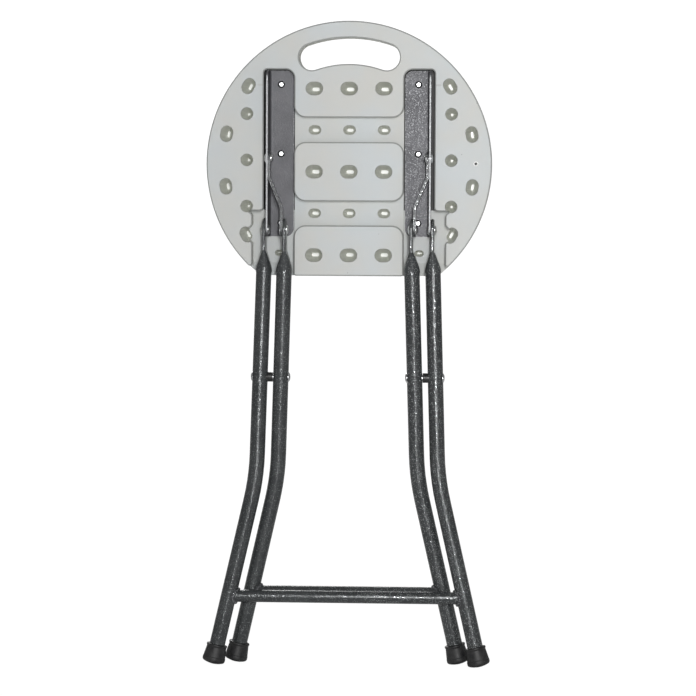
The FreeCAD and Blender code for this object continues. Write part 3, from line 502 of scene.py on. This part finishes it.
@dataclass(frozen=True)
class HammeredPaint(Finish):
    """Dark grey hammered paint whose raised rims and flakes sparkle, with painted highlights: flakes
    painted stronger towards the right, and bright edges.
    """

    dark: Colour = (0.046, 0.050, 0.052)
    light: Colour = (0.066, 0.071, 0.073)
    flake_and_highlight: Colour = (0.75, 0.77, 0.78)
    cell: float = 0.0014
    rim: float = 0.6
    depth: float = 0.00018
    flake_share: float = 0.25
    sparkle_from_x: float = -0.03
    sparkle_to_x: float = 0.05
    right_painted_sparkle: float = 2.0
    roughness: float = 0.20
    metallic: float = 0.25
    flake_gloss: float = 0.15
    flake_metallic: float = 0.6
    edge_reach: float = 0.0005
    edge_highlight_share: float = 0.5
    flange_highlight_from_y: float = -1.0

    def build(self, effects: Effects) -> bpy.types.Material:
        """Make the material."""
        material, sheet, shader = self.start()
        place = sheet.node("SeparateXYZ", Vector=sheet.node("TexCoord").outputs["Object"])
        hammer = effects.place(sheet, effects.hammer, Size=self.cell, Rim=self.rim)
        cloud = effects.place(sheet, effects.cloud, Size=0.03)
        base = sheet.blend(cloud.outputs["Value"], self.dark, self.light)
        # Painted highlight: the flakes are made stronger towards the right, in place of the lamp's sparkle
        # there.
        towards_right_sparkle = sheet.band(place.outputs["X"], self.sparkle_from_x, self.sparkle_to_x)
        sparkle_gain = sheet.math("MULTIPLY_ADD", towards_right_sparkle, self.right_painted_sparkle, 1.0)
        flakes = sheet.product(hammer.outputs["Flakes"], sparkle_gain, self.flake_share)
        base = sheet.blend(flakes, base, self.flake_and_highlight)
        # Painted highlight: whatever stands out past this depth, the flanges' cut edges, is painted bright
        # and speckled.
        flange_tip_painted_highlight = sheet.math("LESS_THAN", place.outputs["Y"], self.flange_highlight_from_y)
        broken = sheet.math("MULTIPLY_ADD", hammer.outputs["Flakes"], 0.5, 0.35)
        base = sheet.blend(sheet.math("MULTIPLY", flange_tip_painted_highlight, broken), base, self.flake_and_highlight)
        # Painted highlight: the edges are painted in the flakes' bright colour, broken up by noise.
        edges = effects.place(sheet, effects.edges, Reach=self.edge_reach, Breaks=0.002)
        base = sheet.blend(sheet.product(edges.outputs["Rubbing and highlight"], self.edge_highlight_share), base, self.flake_and_highlight)
        metallic = sheet.math("MULTIPLY_ADD", flakes, self.flake_metallic, self.metallic)
        rough = sheet.math("MULTIPLY_ADD", flakes, -self.flake_gloss, self.roughness)
        sheet.fill(shader.inputs["Base Color"], base)
        sheet.fill(shader.inputs["Metallic"], metallic)
        sheet.fill(shader.inputs["Roughness"], rough)
        bump = sheet.node("Bump", Strength=1.0, Distance=self.depth, Height=hammer.outputs["Height"])
        sheet.fill(shader.inputs["Normal"], bump.outputs[0])
        return material


@dataclass(frozen=True)
class ZincPlate(Finish):
    """Bright zinc on the rivets, with greyer patches and, on some, painted shade: the slope round the top
    painted black.
    """

    bright: Colour = (0.86, 0.87, 0.88)
    dull: Colour = (0.50, 0.51, 0.52)
    black: Colour = (0.02, 0.02, 0.02)
    slope_shade_share: float = 0.0

    def build(self, effects: Effects) -> bpy.types.Material:
        """Make the material."""
        material, sheet, shader = self.start()
        cloud = effects.place(sheet, effects.cloud, Size=0.003)
        normal = sheet.node("SeparateXYZ", Vector=sheet.node("TexCoord").outputs["Normal"])
        facing = sheet.math("ABSOLUTE", normal.outputs["Y"])
        # Painted shade: the sloping rim round the top of the head is painted black, in place of the shade
        # round it.
        slope = sheet.math("MULTIPLY", sheet.band(facing, 0.95, 0.86), self.slope_shade_share)
        base = sheet.blend(cloud.outputs["Value"], self.bright, self.dull)
        sheet.fill(shader.inputs["Base Color"], sheet.blend(slope, base, self.black))
        shader.inputs["Metallic"].default_value = 1.0
        rough = sheet.math("MULTIPLY_ADD", cloud.outputs["Value"], 0.15, 0.2)
        sheet.fill(shader.inputs["Roughness"], rough)
        self.grained(sheet, shader, effects, size=0.0004, strength=0.25, height=0.0001)
        return material


@dataclass(frozen=True)
class FootRubber(Finish):
    """Matte black rubber with a dusty bloom and scuffed edges."""

    black: Colour = (0.010, 0.010, 0.011)
    bloom: Colour = (0.032, 0.032, 0.032)
    scuff: Colour = (0.09, 0.09, 0.09)

    def build(self, effects: Effects) -> bpy.types.Material:
        """Make the material."""
        material, sheet, shader = self.start()
        cloud = effects.place(sheet, effects.cloud, Size=0.008)
        base = sheet.blend(cloud.outputs["Value"], self.black, self.bloom)
        edges = effects.place(sheet, effects.edges, Reach=0.0005, Breaks=0.002)
        base = sheet.blend(sheet.math("MULTIPLY", edges.outputs["Rubbing and highlight"], 0.6), base, self.scuff)
        rough = sheet.math("MULTIPLY_ADD", cloud.outputs["Value"], 0.15, 0.42)
        sheet.fill(shader.inputs["Base Color"], base)
        sheet.fill(shader.inputs["Roughness"], rough)
        self.grained(sheet, shader, effects, size=0.0008, strength=0.3, height=0.0002)
        return material


@dataclass(frozen=True)
class SpacerPlastic(Finish):
    """Shiny black plastic of the spacers at the crossing, slightly marked by the turning."""

    black: Colour = (0.008, 0.008, 0.008)
    worn: Colour = (0.03, 0.03, 0.03)

    def build(self, effects: Effects) -> bpy.types.Material:
        """Make the material."""
        material, sheet, shader = self.start()
        cloud = effects.place(sheet, effects.cloud, Size=0.002)
        base = sheet.blend(cloud.outputs["Value"], self.black, self.worn)
        rough = sheet.math("MULTIPLY_ADD", cloud.outputs["Value"], 0.2, 0.22)
        sheet.fill(shader.inputs["Base Color"], base)
        sheet.fill(shader.inputs["Roughness"], rough)
        self.grained(sheet, shader, effects, size=0.0005, strength=0.2, height=0.0001)
        return material


@dataclass
class Finishes:
    """Every material of the stool."""

    effects: Effects
    seat: bpy.types.Material = field(init=False)
    tube: bpy.types.Material = field(init=False)
    sheet: bpy.types.Material = field(init=False)
    link: bpy.types.Material = field(init=False)
    weld: bpy.types.Material = field(init=False)
    blind: bpy.types.Material = field(init=False)
    zinc: bpy.types.Material = field(init=False)
    rubber: bpy.types.Material = field(init=False)
    spacer: bpy.types.Material = field(init=False)

    def __post_init__(self) -> None:
        """Build the materials."""
        sheet_paint = HammeredPaint(
            "Hammered paint on sheet",
            dark=(0.060, 0.060, 0.067),
            light=(0.090, 0.090, 0.099),
            cell=0.0009,
            depth=0.00012,
            flake_share=0.08,
            right_painted_sparkle=4.5,
            roughness=0.42,
            metallic=0.3,
            edge_reach=0.0006,
            edge_highlight_share=0.9,
            flange_highlight_from_y=-0.0132,
        )
        link_paint = HammeredPaint(
            "Hammered paint on link",
            dark=(0.030, 0.031, 0.033),
            depth=0.00009,
            roughness=0.4,
            edge_highlight_share=1.0,
        )
        weld_paint = HammeredPaint("Hammered paint on weld", light=(0.12, 0.12, 0.13), flake_share=0.9)
        self.seat = MouldedPlastic("Moulded seat plastic").build(self.effects)
        self.tube = HammeredPaint("Hammered paint on tube").build(self.effects)
        self.sheet = sheet_paint.build(self.effects)
        self.link = link_paint.build(self.effects)
        self.weld = weld_paint.build(self.effects)
        self.blind = ZincPlate("Zinc plate, blackened slope", slope_shade_share=1.0).build(self.effects)
        self.zinc = ZincPlate("Zinc plate").build(self.effects)
        self.rubber = FootRubber("Foot rubber").build(self.effects)
        self.spacer = SpacerPlastic("Spacer plastic").build(self.effects)


def dress(node: bpy.types.Object, material: bpy.types.Material) -> None:
    """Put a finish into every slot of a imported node."""
    for index in range(len(node.material_slots)):
        node.material_slots[index].material = material


@dataclass
class Shape:
    """Points and faces of a mesh that isn't in the scene yet."""

    points: np.ndarray
    faces: list[tuple[int, ...]]

    def across(self) -> "Shape":
        """The mirror image on the stool's other side, its faces turned back outwards."""
        return Shape(self.points * (-1.0, 1.0, 1.0), [face[::-1] for face in self.faces])

    def on(self, side: Side) -> "Shape":
        """The shape itself on the right, or its mirror image on the left."""
        return self if side is Side.RIGHT else self.across()

    @staticmethod
    def joined(shapes: list["Shape"]) -> "Shape":
        """Several separate solids as one mesh."""
        faces: list[tuple[int, ...]] = []
        start = 0
        for shape in shapes:
            faces += [tuple(corner + start for corner in face) for face in shape.faces]
            start += len(shape.points)
        return Shape(np.concatenate([shape.points for shape in shapes]), faces)

    def placed(self, name: str, sharp_angle: float = 40.0) -> bpy.types.Object:
        """Put the shape into the scene with smooth faces and sharp edges.

        Args:
            name: The object's name.
            sharp_angle: Degrees from which an edge stays sharp.

        Returns:
            The linked object.
        """
        mesh = bpy.data.meshes.new(name)
        mesh.from_pydata(self.points.tolist(), [], self.faces)
        mesh.polygons.foreach_set("use_smooth", np.ones(len(mesh.polygons), bool))
        mesh.set_sharp_from_angle(angle=math.radians(sharp_angle))
        mesh.update()
        made = bpy.data.objects.new(name, mesh)
        bpy.context.scene.collection.objects.link(made)
        return made


def grid_faces(rows: int, columns: int, wrap_rows: bool, wrap_columns: bool) -> np.ndarray:
    """Point numbers of the quads of a grid whose points are stored row by row.

    Args:
        rows: Number of rows.
        columns: Number of columns.
        wrap_rows: Whether the last row joins the first.
        wrap_columns: Whether the last column joins the first.

    Returns:
        One row of four point numbers for each quad.
    """
    index = np.arange(rows * columns).reshape(rows, columns)
    if wrap_rows:
        index = np.concatenate([index, index[:1]])
    if wrap_columns:
        index = np.concatenate([index, index[:, :1]], axis=1)
    quads = np.stack([index[:-1, :-1], index[:-1, 1:], index[1:, 1:], index[1:, :-1]], axis=-1)
    return quads.reshape(-1, 4)


def eased(corners: list[tuple[float, float, float]], steps: int = 4) -> np.ndarray:
    """Round a profile's corners.

    Each corner becomes a parabola that leaves one side and meets the next at the corner's easing distance.

    Args:
        corners: Radius, height and easing distance of each corner.
        steps: Number of pieces in each parabola.

    Returns:
        Rows of radius and height.
    """
    spots = [np.array(corner[:2]) for corner in corners]
    rows = []
    for index, corner in enumerate(corners):
        here = spots[index]
        easing = corner[2]
        if easing == 0.0:
            rows.append(here)
            continue
        back = spots[index - 1] - here
        ahead = spots[index + 1] - here
        start = here + back / np.linalg.norm(back) * easing
        end = here + ahead / np.linalg.norm(ahead) * easing
        for share in np.linspace(0.0, 1.0, steps + 1):
            rows.append((1 - share) ** 2 * start + 2 * share * (1 - share) * here + share**2 * end)
    return np.array(rows)


def revolved(profile: np.ndarray, base: Vector, axis: Vector, steps: int = 40) -> Shape:
    """Make a closed solid of revolution.

    Args:
        profile: Rows of radius and height from the low pole to the high pole, where the radius is 0.
        base: Place of height 0.
        axis: Direction of the heights.
        steps: Number of points round the solid.

    Returns:
        The shape.
    """
    along = axis.normalized()
    helper = Vector((0.0, 1.0, 0.0)) if abs(along.y) < 0.9 else Vector((1.0, 0.0, 0.0))
    first = along.cross(helper).normalized()
    second = along.cross(first)
    angles = np.arange(steps) * (2 * math.pi / steps)
    ring = np.cos(angles)[:, None] * np.array(first) + np.sin(angles)[:, None] * np.array(second)
    middle = profile[1:-1]
    rings = middle[:, 0, None, None] * ring[None] + middle[:, 1, None, None] * np.array(along)
    poles = profile[[0, -1], 1][:, None] * np.array(along)
    points = np.concatenate([rings.reshape(-1, 3), poles]) + np.array(base)
    faces = [tuple(quad) for quad in grid_faces(len(middle), steps, False, True).tolist()]
    low_pole = len(middle) * steps
    last_ring = low_pole - steps
    for step in range(steps):
        following = (step + 1) % steps
        faces.append((low_pole, following, step))
        faces.append((low_pole + 1, last_ring + step, last_ring + following))
    return Shape(points, faces)


@dataclass
class SeatPanel:
    """The moulded seat, kept as imported."""

    nodes: dict
    finishes: Finishes

    def build(self) -> None:
        """Dress the panel."""
        dress(self.nodes["seat_shell"], self.finishes.seat)
        LOG.info("seat panel dressed")


@dataclass
class BlindRivets:
    """Three blind rivets that hold each bracket: domed head, broken stem in it, tail in the panel."""

    finishes: Finishes
    head_radius: float = 0.0036
    head_height: float = 0.0016
    shank_radius: float = 0.0020
    bore_radius: float = 0.0008
    tail_radius: float = 0.0030
    tail_start: float = -0.0041
    tail_length: float = 0.0050

    def profile(self) -> np.ndarray:
        """Outline of one rivet from the tip of its tail to the broken stem, measured from the web."""
        head = self.head_radius
        tail = self.tail_start
        return eased([
            (0.0, tail - self.tail_length, 0.0),
            (self.tail_radius, tail - self.tail_length / 2, 0.0010),
            (self.tail_radius, tail, 0.0),
            (self.shank_radius, tail, 0.0),
            (self.shank_radius, 0.0, 0.0),
            (head, 0.0, 0.0),
            (head, self.head_height * 0.35, 0.0003),
            (head * 0.66, self.head_height, 0.0007),
            (self.bore_radius, self.head_height, 0.0002),
            (self.bore_radius, 0.0005, 0.0),
            (self.bore_radius * 0.8, 0.0005, 0.0),
            (self.bore_radius * 0.6, 0.0011, 0.0001),
            (0.0, 0.0011, 0.0),
        ])

    def build(self) -> None:
        """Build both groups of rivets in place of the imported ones."""
        for side in Side:
            node = f"bracket_rivets_{side.word}"
            low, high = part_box(node)
            x = (low.x + high.x) / 2
            web_y = low.y + self.head_height
            top_z = high.z - self.head_radius
            bottom_z = low.z + self.head_radius
            outwards = Vector((0.0, -1.0, 0.0))
            heights = (top_z, (top_z + bottom_z) / 2, bottom_z)
            solids = [revolved(self.profile(), Vector((x, web_y, z)), outwards) for z in heights]
            piece = Shape.joined(solids).placed(f"blind_rivets_{side.word}")
            piece.data.materials.append(self.finishes.blind)
            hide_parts(node)
            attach(piece, "seat")
            LOG.info("blind rivets %s", side.word)


@dataclass
class PivotRivets:
    """Solid rivets of the pivots, their heads domed and dimpled by the riveting tool."""

    finishes: Finishes
    head_radius: float = 0.0050
    head_height: float = 0.0020
    rim_height: float = 0.0006
    crown_radius: float = 0.0029
    dimple_radius: float = 0.0015
    dimple_depth: float = 0.0004
    shank_radius: float = 0.0030

    def head(self) -> list[tuple[float, float, float]]:
        """Corners of one head from its pole down to the shank, with heights below the top."""
        return [
            (0.0, self.dimple_depth, 0.0),
            (self.dimple_radius * 0.7, self.dimple_depth, 0.0002),
            (self.dimple_radius, 0.0, 0.0002),
            (self.crown_radius, 0.0, 0.0010),
            (self.head_radius, self.head_height - self.rim_height, 0.0004),
            (self.head_radius, self.head_height, 0.0),
            (self.shank_radius, self.head_height, 0.0),
        ]

    def profile(self, length: float, low_head: bool, high_head: bool) -> np.ndarray:
        """Outline of a rivet.

        Args:
            length: Length over everything.
            low_head: Whether the low end has a head.
            high_head: Whether the high end has a head.

        Returns:
            Rows of radius and height along the rivet.
        """
        low = self.head() if low_head else [(0.0, 0.0, 0.0), (self.shank_radius, 0.0, 0.0)]
        mirror = self.head() if high_head else [(0.0, 0.0, 0.0), (self.shank_radius, 0.0, 0.0)]
        high = [(radius, length - height, easing) for radius, height, easing in reversed(mirror)]
        return eased(low + high)

    def build(self) -> None:
        """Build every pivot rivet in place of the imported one."""
        kinds = {
            "leg_pivot_rivet": ("seat", True, True),
            "link_pivot_rivet": ("seat", True, True),
            "cross_rivet": ("outer_frame", True, True),
            "inner_pivot_rivet": ("inner_frame", True, False),
            "link_end_rivet": ("link", False, True),
        }
        for kind, (body, inner_head, outer_head) in kinds.items():
            for side in Side:
                node = f"{kind}_{side.word}"
                low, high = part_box(node)
                centre_y = (low.y + high.y) / 2
                centre_z = (low.z + high.z) / 2
                inner_x = min(abs(low.x), abs(high.x))
                profile = self.profile(high.x - low.x, inner_head, outer_head)
                solid = revolved(profile, Vector((inner_x, centre_y, centre_z)), Vector((1.0, 0.0, 0.0)))
                piece = solid.on(side).placed(f"domed_{kind}_{side.word}")
                piece.data.materials.append(self.finishes.zinc)
                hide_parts(node)
                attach(piece, f"{side.word}_link" if body == "link" else body)
        LOG.info("pivot rivets built")


@dataclass
class Brackets:
    """The folded steel angles and the link bars, kept as imported."""

    nodes: dict
    finishes: Finishes

    def build(self) -> None:
        """Dress the sheet metal."""
        for side in Side:
            dress(self.nodes[f"bracket_{side.word}"], self.finishes.sheet)
            dress(self.nodes[f"link_{side.word}"], self.finishes.link)
        LOG.info("brackets and links dressed")


@dataclass
class Spacers:
    """The black spacers between the crossing legs, kept as imported."""

    nodes: dict
    finishes: Finishes

    def build(self) -> None:
        """Dress the spacers."""
        for side in Side:
            dress(self.nodes[f"cross_spacer_{side.word}"], self.finishes.spacer)
        LOG.info("spacers dressed")


@dataclass
class LegFrame:
    """One frame of two bent legs and a crossbar, with its rippled welds and flared feet."""

    which: Frame
    nodes: dict
    finishes: Finishes
    blade_x: float
    pivot_y: float
    lean: float
    bar_above_sole: float
    pivot_z: float = 0.449511
    leg_length: float = 0.449
    bend_distance: float = 0.2555
    blade_length: float = 0.022
    upper_splay: float = 1.71
    lower_splay: float = 12.9
    tube_radius: float = 0.0080
    bar_radius: float = 0.00635
    bead_radius: float = 0.0017
    bead_lift: float = 0.0005
    ripples: int = 26
    seed: int = 3

    def carried(self, points: np.ndarray) -> np.ndarray:
        """Carry points drawn on a frame that hangs from the origin to their place.

        Args:
            points: Rows of x, y and z.

        Returns:
            The same rows, leaned about the x axis and moved to the pivot.
        """
        turn = math.radians(self.lean)
        y = points[:, 1] * math.cos(turn) - points[:, 2] * math.sin(turn) + self.pivot_y
        z = points[:, 1] * math.sin(turn) + points[:, 2] * math.cos(turn) + self.pivot_z
        return np.stack([points[:, 0], y, z], axis=1)

    def lower_run_x(self, drop: np.ndarray | float) -> np.ndarray | float:
        """Middle of the right leg's lower run at a distance below the pivot."""
        upper = math.tan(math.radians(self.upper_splay)) * (self.bend_distance - self.blade_length)
        return self.blade_x + upper + math.tan(math.radians(self.lower_splay)) * (drop - self.bend_distance)

    def weld_bead(self) -> Shape:
        """Weld bead round the crossbar's right end.

        Its middle line is the curve in which the bar's cylinder meets the leg's: at an angle a round the
        bar of radius r, y is r cos a, the drop is that of the bar less r sin a, and x is the leg's middle
        there less the square root of R squared less y squared, over the cosine of the splay. The section
        is a small circle that swells and shrinks once for each ripple.
        """
        around = self.ripples * 8
        turns = np.arange(around) * (2 * math.pi / around)
        section = np.arange(14) * (2 * math.pi / 14)
        chance = np.random.default_rng(self.seed)
        uneven = np.convolve(chance.normal(0.0, 0.35, around + 10), np.ones(11) / 11, "valid")
        ripple = np.abs(np.sin(turns * self.ripples / 2))
        thick = self.bead_radius * (0.88 + 0.20 * ripple + uneven)
        out_radius = self.bar_radius + self.bead_lift
        y = out_radius * np.cos(turns)
        drop = self.leg_length - self.bar_above_sole - out_radius * np.sin(turns)
        reach = np.sqrt(self.tube_radius**2 - np.clip(np.abs(y), 0.0, self.tube_radius * 0.98) ** 2)
        x = self.lower_run_x(drop) - reach / math.cos(math.radians(self.lower_splay)) - self.bead_lift
        outwards = thick[:, None] * np.cos(section)
        along_bar = thick[:, None] * np.sin(section)
        grid_x = x[:, None] - along_bar
        grid_y = y[:, None] + outwards * np.cos(turns)[:, None]
        grid_z = -drop[:, None] + outwards * np.sin(turns)[:, None]
        points = np.stack([grid_x, grid_y, grid_z], axis=-1).reshape(-1, 3)
        faces = [tuple(quad) for quad in grid_faces(around, len(section), True, True).tolist()]
        return Shape(self.carried(points), faces)

    def foot(self) -> Shape:
        """Right foot: grooved sole, rounded flare, a waist ring and a rolled lip round the tube."""
        corners = [(0.0, 0.0, 0.0)]
        for groove in (0.0030, 0.0060):
            height = 0.0016 * (groove / 0.0085) ** 2
            corners += [
                (groove - 0.0006, height, 0.0),
                (groove - 0.0004, height + 0.0007, 0.0),
                (groove + 0.0004, height + 0.0007, 0.0),
                (groove + 0.0006, height, 0.0),
            ]
        corners += [
            (0.0088, 0.0015, 0.0006),
            (0.0118, 0.0026, 0.0020),
            (0.0117, 0.0070, 0.0003),
            (0.0112, 0.0074, 0.0002),
            (0.0114, 0.0079, 0.0003),
            (0.0101, 0.0182, 0.0006),
            (0.0107, 0.0188, 0.0004),
            (0.0107, 0.0205, 0.0006),
            (0.0082, 0.0210, 0.0004),
            (0.00802, 0.0200, 0.0),
            (0.00802, 0.0046, 0.0),
            (0.0, 0.0046, 0.0),
        ]
        sole = np.array([[self.lower_run_x(self.leg_length), 0.0, -self.leg_length]])
        knee = np.array([[self.lower_run_x(self.bend_distance), 0.0, -self.bend_distance]])
        base = Vector(self.carried(sole)[0])
        axis = Vector(self.carried(knee)[0]) - base
        return revolved(eased(corners), base, axis, 64)

    def build(self) -> None:
        """Dress the legs, build the welds and feet and report them."""
        word = self.which.value
        for side in Side:
            dress(self.nodes[f"{word}_leg_{side.word}"], self.finishes.tube)
            cap = self.foot().on(side).placed(f"flared_foot_{word}_{side.word}")
            cap.data.materials.append(self.finishes.rubber)
            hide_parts(f"{word}_foot_{side.word}")
            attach(cap, self.which.body)
        dress(self.nodes[f"{word}_crossbar"], self.finishes.tube)
        bead = self.weld_bead()
        beads = Shape.joined([bead, bead.across()]).placed(f"rippled_welds_{word}", 75.0)
        beads.data.materials.append(self.finishes.weld)
        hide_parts(f"{word}_weld_beads")
        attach(beads, self.which.body)
        LOG.info("%s frame built", word)


@dataclass(frozen=True)
class Lamp:
    """One area lamp aimed at the middle of the stool, round unless it has a height of its own."""

    name: str
    place: Place
    power: float
    width: float
    height: float = 0.0
    aim: Place = (0.0, 0.0, 0.4)

    def build(self) -> None:
        """Put the lamp into the scene."""
        data = bpy.data.lights.new(self.name, "AREA")
        data.shape = "RECTANGLE" if self.height else "DISK"
        data.size = self.width
        if self.height:
            data.size_y = self.height
        data.energy = self.power
        lamp = bpy.data.objects.new(self.name, data)
        bpy.context.scene.collection.objects.link(lamp)
        lamp.location = self.place
        sight = Vector(self.aim) - Vector(self.place)
        lamp.rotation_mode = "QUATERNION"
        lamp.rotation_quaternion = sight.to_track_quat("-Z", "Y")


@dataclass
class Studio:
    """Camera, lamps, floor and background."""

    camera_place: Place = (0.175, -3.1028, 0.48931)
    camera_target: Place = (0.0, -0.0028, 0.32767)
    camera_roll: float = 0.26
    lens: float = 155.94
    world_strength: float = 0.20
    floor_colour: Colour = (0.92, 0.92, 0.92)
    floor_glow: float = 1.13
    floor_glow_share: float = 0.86
    floor_reach: float = 4.0
    floor_drop: float = 0.0002
    curve_start: float = 1.5
    curve_width: float = 2.5

    def build(self) -> None:
        """Set everything up and report it."""
        bpy.context.scene.view_settings.view_transform = "Standard"
        self.build_camera()
        self.build_world()
        self.build_lamps()
        self.build_floor()
        LOG.info("studio ready")

    def build_camera(self) -> None:
        """Camera with the photograph's viewing angle."""
        data = bpy.data.cameras.new("Camera")
        data.lens = self.lens
        data.clip_end = 50.0
        camera = bpy.data.objects.new("Camera", data)
        bpy.context.scene.collection.objects.link(camera)
        camera.location = self.camera_place
        sight = Vector(self.camera_target) - Vector(self.camera_place)
        turn = sight.to_track_quat("-Z", "Y")
        roll = Quaternion((0.0, 0.0, 1.0), math.radians(self.camera_roll))
        camera.rotation_mode = "QUATERNION"
        camera.rotation_quaternion = turn @ roll
        bpy.context.scene.camera = camera

    def build_world(self) -> None:
        """Soft even light from all round, on a white background."""
        world = bpy.data.worlds.new("World")
        bpy.context.scene.world = world
        world.use_nodes = True
        world.node_tree.nodes.clear()
        sheet = NodeSheet(world.node_tree)
        seen = sheet.node("LightPath").outputs["Is Camera Ray"]
        strength = sheet.math("MULTIPLY_ADD", seen, 1.0 - self.world_strength, self.world_strength)
        background = sheet.node("Background", Color=(1.0, 1.0, 1.0), Strength=strength)
        out = sheet.tree.nodes.new("ShaderNodeOutputWorld")
        sheet.tree.links.new(background.outputs[0], out.inputs[0])

    def build_lamps(self) -> None:
        """A broad lamp near the camera, an upright one for the streaks on the legs and one behind."""
        Lamp("Key lamp", (0.35, -3.0, 0.75), power=20.0, width=0.9).build()
        Lamp("Strip lamp", (0.36, -2.95, 0.8), power=32.0, width=0.09, height=1.0).build()
        Lamp("Back lamp", (-0.8, 2.8, 1.9), power=32.0, width=1.2).build()

    def build_floor(self) -> None:
        """Pale floor that curves up into the background behind the stool.

        Past the curve's start its height is the square of the distance from there over the curve's width.
        """
        rows = 81
        columns = 12
        depth = np.linspace(-self.floor_reach, self.floor_reach, rows)
        rise = np.clip(depth - self.curve_start, 0.0, None) ** 2 / self.curve_width
        across = np.linspace(-self.floor_reach, self.floor_reach, columns)
        grid_x, grid_y = np.meshgrid(across, depth)
        grid_z = np.repeat(rise[:, None], columns, axis=1) - self.floor_drop
        points = np.stack([grid_x, grid_y, grid_z], axis=-1).reshape(-1, 3)
        faces = [tuple(quad) for quad in grid_faces(rows, columns, False, False).tolist()]
        floor = Shape(points, faces).placed("Floor")
        material = bpy.data.materials.new("Pale floor")
        material.use_nodes = True
        material.node_tree.nodes.clear()
        sheet = NodeSheet(material.node_tree)
        diffuse = sheet.node("BsdfDiffuse", Color=self.floor_colour)
        glow = sheet.node("Emission", Color=(1.0, 1.0, 1.0), Strength=self.floor_glow)
        seen = sheet.node("LightPath").outputs["Is Camera Ray"]
        mixed = sheet.tree.nodes.new("ShaderNodeMixShader")
        sheet.fill(mixed.inputs[0], sheet.product(seen, self.floor_glow_share))
        sheet.tree.links.new(diffuse.outputs[0], mixed.inputs[1])
        sheet.tree.links.new(glow.outputs[0], mixed.inputs[2])
        out = sheet.tree.nodes.new("ShaderNodeOutputMaterial")
        sheet.tree.links.new(mixed.outputs[0], out.inputs[0])
        floor.data.materials.append(material)


def main() -> None:
    """Load the model, build and dress every piece and set up the studio."""
    logging.basicConfig(level=logging.INFO, format="%(message)s")
    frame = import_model()
    nodes = frame["nodes"]
    finishes = Finishes(Effects())
    SeatPanel(nodes, finishes).build()
    Brackets(nodes, finishes).build()
    BlindRivets(finishes).build()
    PivotRivets(finishes).build()
    Spacers(nodes, finishes).build()
    outer ={"blade_x": 0.0866, "pivot_y": -0.002799, "lean": -1.858, "bar_above_sole": 0.0703}
    inner = {"blade_x": 0.0651, "pivot_y": -0.012655, "lean": 1.858, "bar_above_sole": 0.0733}
    LegFrame(Frame.OUTER, nodes, finishes, **outer).build()
    LegFrame(Frame.INNER, nodes, finishes, **inner, seed=8).build()
    Studio().build()


if __name__ == "__main__":
    main()
